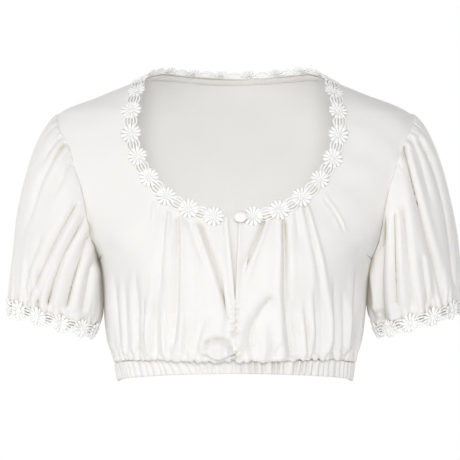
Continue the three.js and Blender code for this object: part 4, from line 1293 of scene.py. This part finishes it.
def daisy():
    """A flat daisy: twelve petals round an eye of two rings, tied by a wider ring under their middles."""
    parts = []
    blade, blade_quads = petal()
    for k in range(DAISY_PETALS):
        turn = FULL_TURN * (k + 0.5) / DAISY_PETALS
        c, s = math.cos(turn), math.sin(turn)
        x, y = c * blade[:, 0] - s * blade[:, 1], s * blade[:, 0] + c * blade[:, 1]
        parts.append((np.stack([x, y, blade[:, 2]], -1), blade_quads))
    parts.append(ring_of_thread(2.5, 0.8, 12, lift=0.45))
    parts.append(ring_of_thread(6.6, 0.5, 24, 4, lift=-0.35))
    parts.append(ring_of_thread(0.9, 0.85, 8, lift=0.5))
    return gathered(parts)


def lace_strip(name, node, length, count, spot_at, lift, seed):
    """A chain of daisies. Each is turned, sized and tilted a little by seeded numbers, joined to the
    next by five short cords, and spot_at lays its flat points on the garment."""
    rng = np.random.default_rng(seed)
    pitch = length / count
    flower, flower_quads = daisy()
    parts = []
    for k in range(count):
        turn = rng.uniform(-0.26, 0.26)
        size = rng.uniform(0.94, 1.03)
        c, s = math.cos(turn) * size, math.sin(turn) * size
        x = c * flower[:, 0] - s * flower[:, 1]
        y = s * flower[:, 0] + c * flower[:, 1]
        reach = np.hypot(x, y) / DAISY_RADIUS
        z = flower[:, 2] + rng.uniform(-0.05, 0.05) * x + rng.uniform(-0.05, 0.05) * y
        z = z + rng.uniform(0.1, 0.9) * reach**2
        parts.append((np.stack([x + (k + 0.5) * pitch, y + rng.uniform(-0.6, 0.6), z], -1), flower_quads))
        if k:
            for offset, radius in LACE_LINKS:
                t = np.linspace(-1, 1, 7)
                bow = offset * (1 + 0.35 * (1 - t * t)) * (1 - 0.35 * t * t)
                cord = np.stack([k * pitch + t * (pitch / 2 - 6.4), bow, 0.15 + 0.25 * (1 - t * t)], -1)
                parts.append(tube(cord, radius * (1 - 0.35 * t * t), 6))
    points, quads = gathered(parts)
    place, out = spot_at(points[:, 0], points[:, 1])
    placed = place + out * (lift + points[:, 2])[:, None]
    piece = make_piece(name, placed, quads, lace_thread)
    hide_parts(node)
    return piece


def edge_lace_spots(side, edge, upward, along, across):
    """Lays flat lace on an edge of the body. Above the edge it goes straight on over the opening;
    below it four steps walk down the form. side is -1 or 1 for each point."""
    share = along / edge.total
    angle, height = edge(share)
    ahead, behind = edge(np.minimum(1, share + 0.01)), edge(np.maximum(0, share - 0.01))
    tangent = unit(form_point(*ahead) - form_point(*behind))
    normal = form_normal(angle, height)
    open_way = unit(np.cross(normal, tangent) * upward)
    over = np.maximum(0, across)[:, None]
    inward = np.minimum(0, across)[:, None]
    steps, small, step = 4, 0.002, 0.2
    walk_angle, walk_height = angle.copy(), height.copy()
    for _ in range(steps):
        round_it, up_it = form_steps(walk_angle, walk_height, small, step)
        round_it, up_it = round_it * 0.5 / small, up_it * 0.5 / step
        move = open_way * inward / steps
        rr, ru = np.sum(round_it * round_it, -1), np.sum(round_it * up_it, -1)
        uu, mr, mu = np.sum(up_it * up_it, -1), np.sum(move * round_it, -1), np.sum(move * up_it, -1)
        scale = rr * uu - ru * ru
        walk_angle = walk_angle + (mr * uu - mu * ru) / scale
        walk_height = walk_height + (mu * rr - mr * ru) / scale
    on_left, on_right = (body_fold(k, walk_angle, walk_height) for k in (1, -1))
    fold = np.where(side > 0, on_left, on_right)
    out = form_normal(walk_angle, walk_height)
    place = form_point(walk_angle, walk_height) + open_way * over + out * fold[:, None]
    place[:, 0] *= side
    out[:, 0] *= side
    return place, out


def front_lace(side, name):
    edge = front_neck(side)[2]
    return lace_strip(
        name, name, edge.total - 2 * SEAM_GAP, FRONT_NECK_DAISIES,
        lambda along, across: edge_lace_spots(side, edge, 1, along + SEAM_GAP, across),
        LACE_LIFT, 60 + side,
    )


def back_lace():
    edge = by_length(back_neck_spot)
    half = edge.total - SEAM_GAP
    return lace_strip(
        "neck_lace_back", "neck_lace_back", 2 * half, BACK_NECK_DAISIES,
        lambda along, across: edge_lace_spots(
            np.where(along < half, -1, 1), edge, -1, np.abs(along - half), across
        ),
        LACE_LIFT, 70,
    )


def cuff_lace(side, name):
    """Lace round a cuff, open by a seam's gap under the arm."""
    around = FULL_TURN * ((CUFF_RADIUS_ACROSS + CUFF_RADIUS_DEEP) / 2 + CUFF_LACE_LIFT)

    def spot_at(along, across):
        turn = np.mod(math.pi + FULL_TURN * (along + SEAM_GAP / 2) / around, FULL_TURN)
        reach = np.linalg.norm(sleeve_point(turn, 1.0) - sleeve_point(turn, 0.97), axis=-1) / 0.03
        share = 1 + (across + CUFF_LACE_DROP) / reach
        out = sleeve_normal(turn, np.minimum(share, 1))
        fold = sleeve_fold(side, turn, np.minimum(share, 1)) * 0.6
        place = sleeve_point(turn, share) + out * fold[:, None]
        return place * (side, 1, 1), out * (side, 1, 1)

    return lace_strip(name, name, around - SEAM_GAP, CUFF_DAISIES, spot_at, CUFF_LACE_LIFT, 80 + side)


neck_laces = [front_lace(-1, "neck_lace_right"), front_lace(1, "neck_lace_left"), back_lace()]
cuff_laces = [cuff_lace(-1, "cuff_lace_right"), cuff_lace(1, "cuff_lace_left")]


# Binding, stitching and buttons

BINDING_WIDTH = 8
BINDING_THICKNESS = 0.9
BINDING_DEPTH = 1.6


def back_neck_line(drop, samples=161, reach=0.94):
    """A line inside the back neck, a distance below its edge: places and inward normals."""
    share = np.abs(np.linspace(-reach, reach, samples))
    side = np.where(np.linspace(-reach, reach, samples) < 0, -1, 1)
    angle, height = by_length(back_neck_spot)(share)
    lower = form_point(angle, height - 4) - form_point(angle, height)
    place = form_point(angle, height) + unit(lower) * drop
    out = form_normal(angle, height - drop)
    place[:, 0] *= side
    out[:, 0] *= side
    return place, out


def neck_binding():
    """A narrow tape inside the back neck: rows of one line let down by 0.4 to 8 mm, humped between
    its two stitched edges."""
    drops = np.linspace(SEAM_GAP, BINDING_WIDTH, 13)
    rows = []
    for drop in drops[::-1]:
        place, out = back_neck_line(drop)
        hump = 0.5 * math.sin(math.pi * (drop - SEAM_GAP) / (BINDING_WIDTH - SEAM_GAP))
        rows.append(place - out * (BINDING_DEPTH + BINDING_THICKNESS + hump))
    points = np.stack(rows)
    quads = grid_quads(np.arange(points[..., 0].size).reshape(points.shape[:2]))
    run = np.linspace(0, 200, points.shape[1])
    uv = np.stack(np.broadcast_arrays(run[None, :], -drops[::-1][:, None]), axis=-1).reshape(-1, 2)
    piece = cloth_piece("neck_binding", points.reshape(-1, 3), quads, uv, tape, BINDING_THICKNESS)
    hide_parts("neck_binding")
    return piece


def binding_stitches():
    """Two rows of stitching along the tape's edges, on its inner face."""
    parts = []
    for drop in (1.3, BINDING_WIDTH - 1.0):
        place, out = back_neck_line(drop)
        inner = place - out * (BINDING_DEPTH + BINDING_THICKNESS + 0.25)
        parts.append(stitch_row(inner, -out, 3.2))
    points, quads = gathered(parts)
    piece = make_piece("binding_stitches", points, quads, sewing_thread)
    return piece


def body_row(side, angle, height, lift):
    """Places and normals of a line on the folded cloth."""
    out = form_normal(angle, height)
    place = form_point(angle, height) + out * (body_fold(side, angle, height) + lift)[:, None]
    return place * (side, 1, 1), out * (side, 1, 1)


def slit_stitches():
    """Two rows of stitching down each side of the slit, where its edges are turned in."""
    height = np.linspace(SLIT_BOTTOM - 1, -161, 90)
    parts = []
    for side in (-1, 1):
        for inset in (2.2, 5.6):
            x = slit_half_width(side, height) + inset
            line = body_row(side, front_angle(x, height), height, 0.1)
            parts.append(stitch_row(*line, 2.8, 1.9, 0.22))
    points, quads = gathered(parts)
    piece = make_piece("slit_stitches", points, quads, sewing_thread)
    return piece


BUTTON_PROFILE = [
    (0, -0.02), (0.5, -0.02), (0.86, 0.02), (0.97, 0.14), (1.0, 0.3), (0.97, 0.46),
    (0.88, 0.62), (0.7, 0.77), (0.45, 0.9), (0.2, 0.97), (0, 0.99),
]


BUTTON_SIDES = 48
BUTTON_PLEATS = 12


def button(name, radius, rise, tall, x, height, stand_off):
    """A covered button: a profile spun round its axis, with the cloth's small pleats round the
    back of its rim, squeezed to tall times its height across the front."""
    angle = front_angle(abs(x), height)
    side = 1 if x >= 0 else -1
    out = form_normal(angle, height) * (side, 1, 1)
    middle = form_point(angle, height) * (side, 1, 1) + out * stand_off
    across = unit(np.cross((0, 0, 1), out))
    over = np.cross(out, across)
    profile = np.array(BUTTON_PROFILE)
    turn = np.linspace(0, FULL_TURN, BUTTON_SIDES, endpoint=False)[None, :]
    reach = radius * profile[:, 0][:, None] + 0 * turn
    pleat = 0.05 * radius * np.cos(turn * BUTTON_PLEATS) * bell((profile[:, 1][:, None] - 0.1) / 0.16)
    reach = np.maximum(0.02, reach + pleat * (profile[:, 0][:, None] > 0.6))
    lift = rise * profile[:, 1][:, None] + 0 * turn
    points = middle + across * (reach * np.cos(turn))[..., None]
    points = points + over * (reach * np.sin(turn) * tall)[..., None] + out * lift[..., None]
    caps = end_caps(len(profile), BUTTON_SIDES)
    quads = np.concatenate([grid_quads(ring_index(len(profile), BUTTON_SIDES)), caps])
    uv = np.stack([reach * np.cos(turn), reach * np.sin(turn)], axis=-1).reshape(-1, 2)
    piece = make_piece(name, points.reshape(-1, 3), quads, sateen, uv)
    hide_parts(name)
    return piece, middle, across, over, out


def button_loop(middle, across, over, out):
    """The loop that holds the neck button: a thin cord from the right edge of the slit, round the
    foot of the button and back."""
    t = np.linspace(-1, 1, 41)
    turn = math.pi + t * 2.5
    reach = 7.5 + 3.2 * np.abs(t) ** 6
    path = middle + across * (reach * np.cos(turn) - 5.0 * np.abs(t) ** 8)[:, None]
    path = path + over * (reach * 0.78 * np.sin(turn) * (1 - 0.3 * np.abs(t) ** 6))[:, None]
    path = path + out * (0.9 - 0.4 * np.abs(t) ** 4)[:, None]
    points, quads = tube(path, 0.75, 8)
    piece = make_piece("button_loop", points, quads, sewing_thread)
    return piece


binding = neck_binding()
stitches = binding_stitches()
slit_stitches()
neck_button, *button_axes = button(
    "neck_button", radius=7.3, rise=4.8, tall=0.82, x=5.9, height=-154.6, stand_off=2.3
)
seam_button, *_ = button("seam_button", radius=3.2, rise=2.6, tall=1, x=0.2, height=-287.5, stand_off=-1.0)
loop = button_loop(*button_axes)


# Floor, light and camera

# The photograph is 460 pixels wide, and one of them is 1.12 mm at the garment's middle
PICTURE_WIDTH = 460 * 1.12 * METRES
CAMERA_DISTANCE = 2.5
CAMERA_PLACE = (-0.0056, -CAMERA_DISTANCE, -0.168)
SENSOR_WIDTH = 36
FLOOR_HEIGHT = -0.6
FLOOR_RADIUS = 1.5
FLOOR_SIDES = 96


# Name, place and aim in metres, size in metres, power in watts. The levels are set against
# the photograph. The last lamp stands inside the blouse and evens out the inside of its back.
GARMENT_MIDDLE = (0, 0, -0.16)
LAMPS = [
    ("key", (-2.2, -1.5, 0.5), GARMENT_MIDDLE, 0.8, 9),
    ("front", (0.0, -2.88, 0.3), GARMENT_MIDDLE, 0.8, 45),
    ("rim_right", (-2.2, 1.3, 0.5), GARMENT_MIDDLE, 1.4, 19),
    ("rim_left", (2.2, 1.3, 0.5), GARMENT_MIDDLE, 1.4, 8),
    ("back", (1.2, 2.6, 0.4), GARMENT_MIDDLE, 1.0, 20),
    ("hollow", (0, -0.05, -0.25), (0, 0.1, -0.07), 0.16, 0.065),
]


def floor():
    """A plain pale disc under the garment."""
    material, tree = start_material("pale_floor")
    place = add_node(tree, "ShaderNodeTexCoord").outputs["Object"]
    grain = noise(tree, place, 3.0, 2.0)
    pale = ramp(tree, grain, srgb("#f6f6f5"), 0, srgb("#fbfbfa"), 1)
    shader = add_node(tree, "ShaderNodeBsdfPrincipled", {"Base Color": pale, "Roughness": 0.9})
    add_node(tree, "ShaderNodeOutputMaterial", {"Surface": shader.outputs["BSDF"]})
    turn = np.linspace(0, FULL_TURN, FLOOR_SIDES, endpoint=False)
    rim = np.stack([FLOOR_RADIUS * np.cos(turn), FLOOR_RADIUS * np.sin(turn), FLOOR_HEIGHT + 0 * turn], -1)
    mesh = bpy.data.meshes.new("floor")
    mesh.from_pydata(rim.tolist(), [], [list(range(FLOOR_SIDES))])
    mesh.materials.append(material)
    add_object("floor", mesh)


def soft_light(name, place, aim, size, power):
    """A square white soft box at a place, turned to what it lights."""
    data = bpy.data.lights.new(name, "AREA")
    data.shape = "SQUARE"
    data.size = size
    data.energy = power
    lamp = add_object(name, data)
    lamp.location = place
    lamp.rotation_euler = (Vector(aim) - Vector(place)).to_track_quat("-Z", "Y").to_euler()


def daylight(level):
    """An even white surround. It is seen as white, and lights the blouse at its own level."""
    world = bpy.data.worlds.new("white_surround")
    world.use_nodes = True
    tree = world.node_tree
    tree.nodes.clear()
    seen = add_node(tree, "ShaderNodeBackground", {"Color": (1, 1, 1, 1), "Strength": 1.0})
    lit = add_node(tree, "ShaderNodeBackground", {"Color": (1, 1, 1, 1), "Strength": level})
    path = add_node(tree, "ShaderNodeLightPath")
    both = add_node(
        tree, "ShaderNodeMixShader",
        {0: path.outputs["Is Camera Ray"], 1: lit.outputs[0], 2: seen.outputs[0]},
    )
    add_node(tree, "ShaderNodeOutputWorld", {"Surface": both.outputs[0]})
    bpy.context.scene.world = world


def camera():
    """Level, looking along +Y from in front, at the scale of the photograph."""
    data = bpy.data.cameras.new("camera")
    data.sensor_width = SENSOR_WIDTH
    data.lens = SENSOR_WIDTH * CAMERA_DISTANCE / PICTURE_WIDTH
    data.clip_end = 20
    view = add_object("camera", data)
    view.location = CAMERA_PLACE
    view.rotation_euler = (QUARTER, 0, 0)
    bpy.context.scene.camera = view


floor()
daylight(0.41)
for lamp_row in LAMPS:
    soft_light(*lamp_row)
camera()
bpy.context.scene.view_settings.view_transform = "Standard"
bpy.context.scene.view_settings.look = "None"
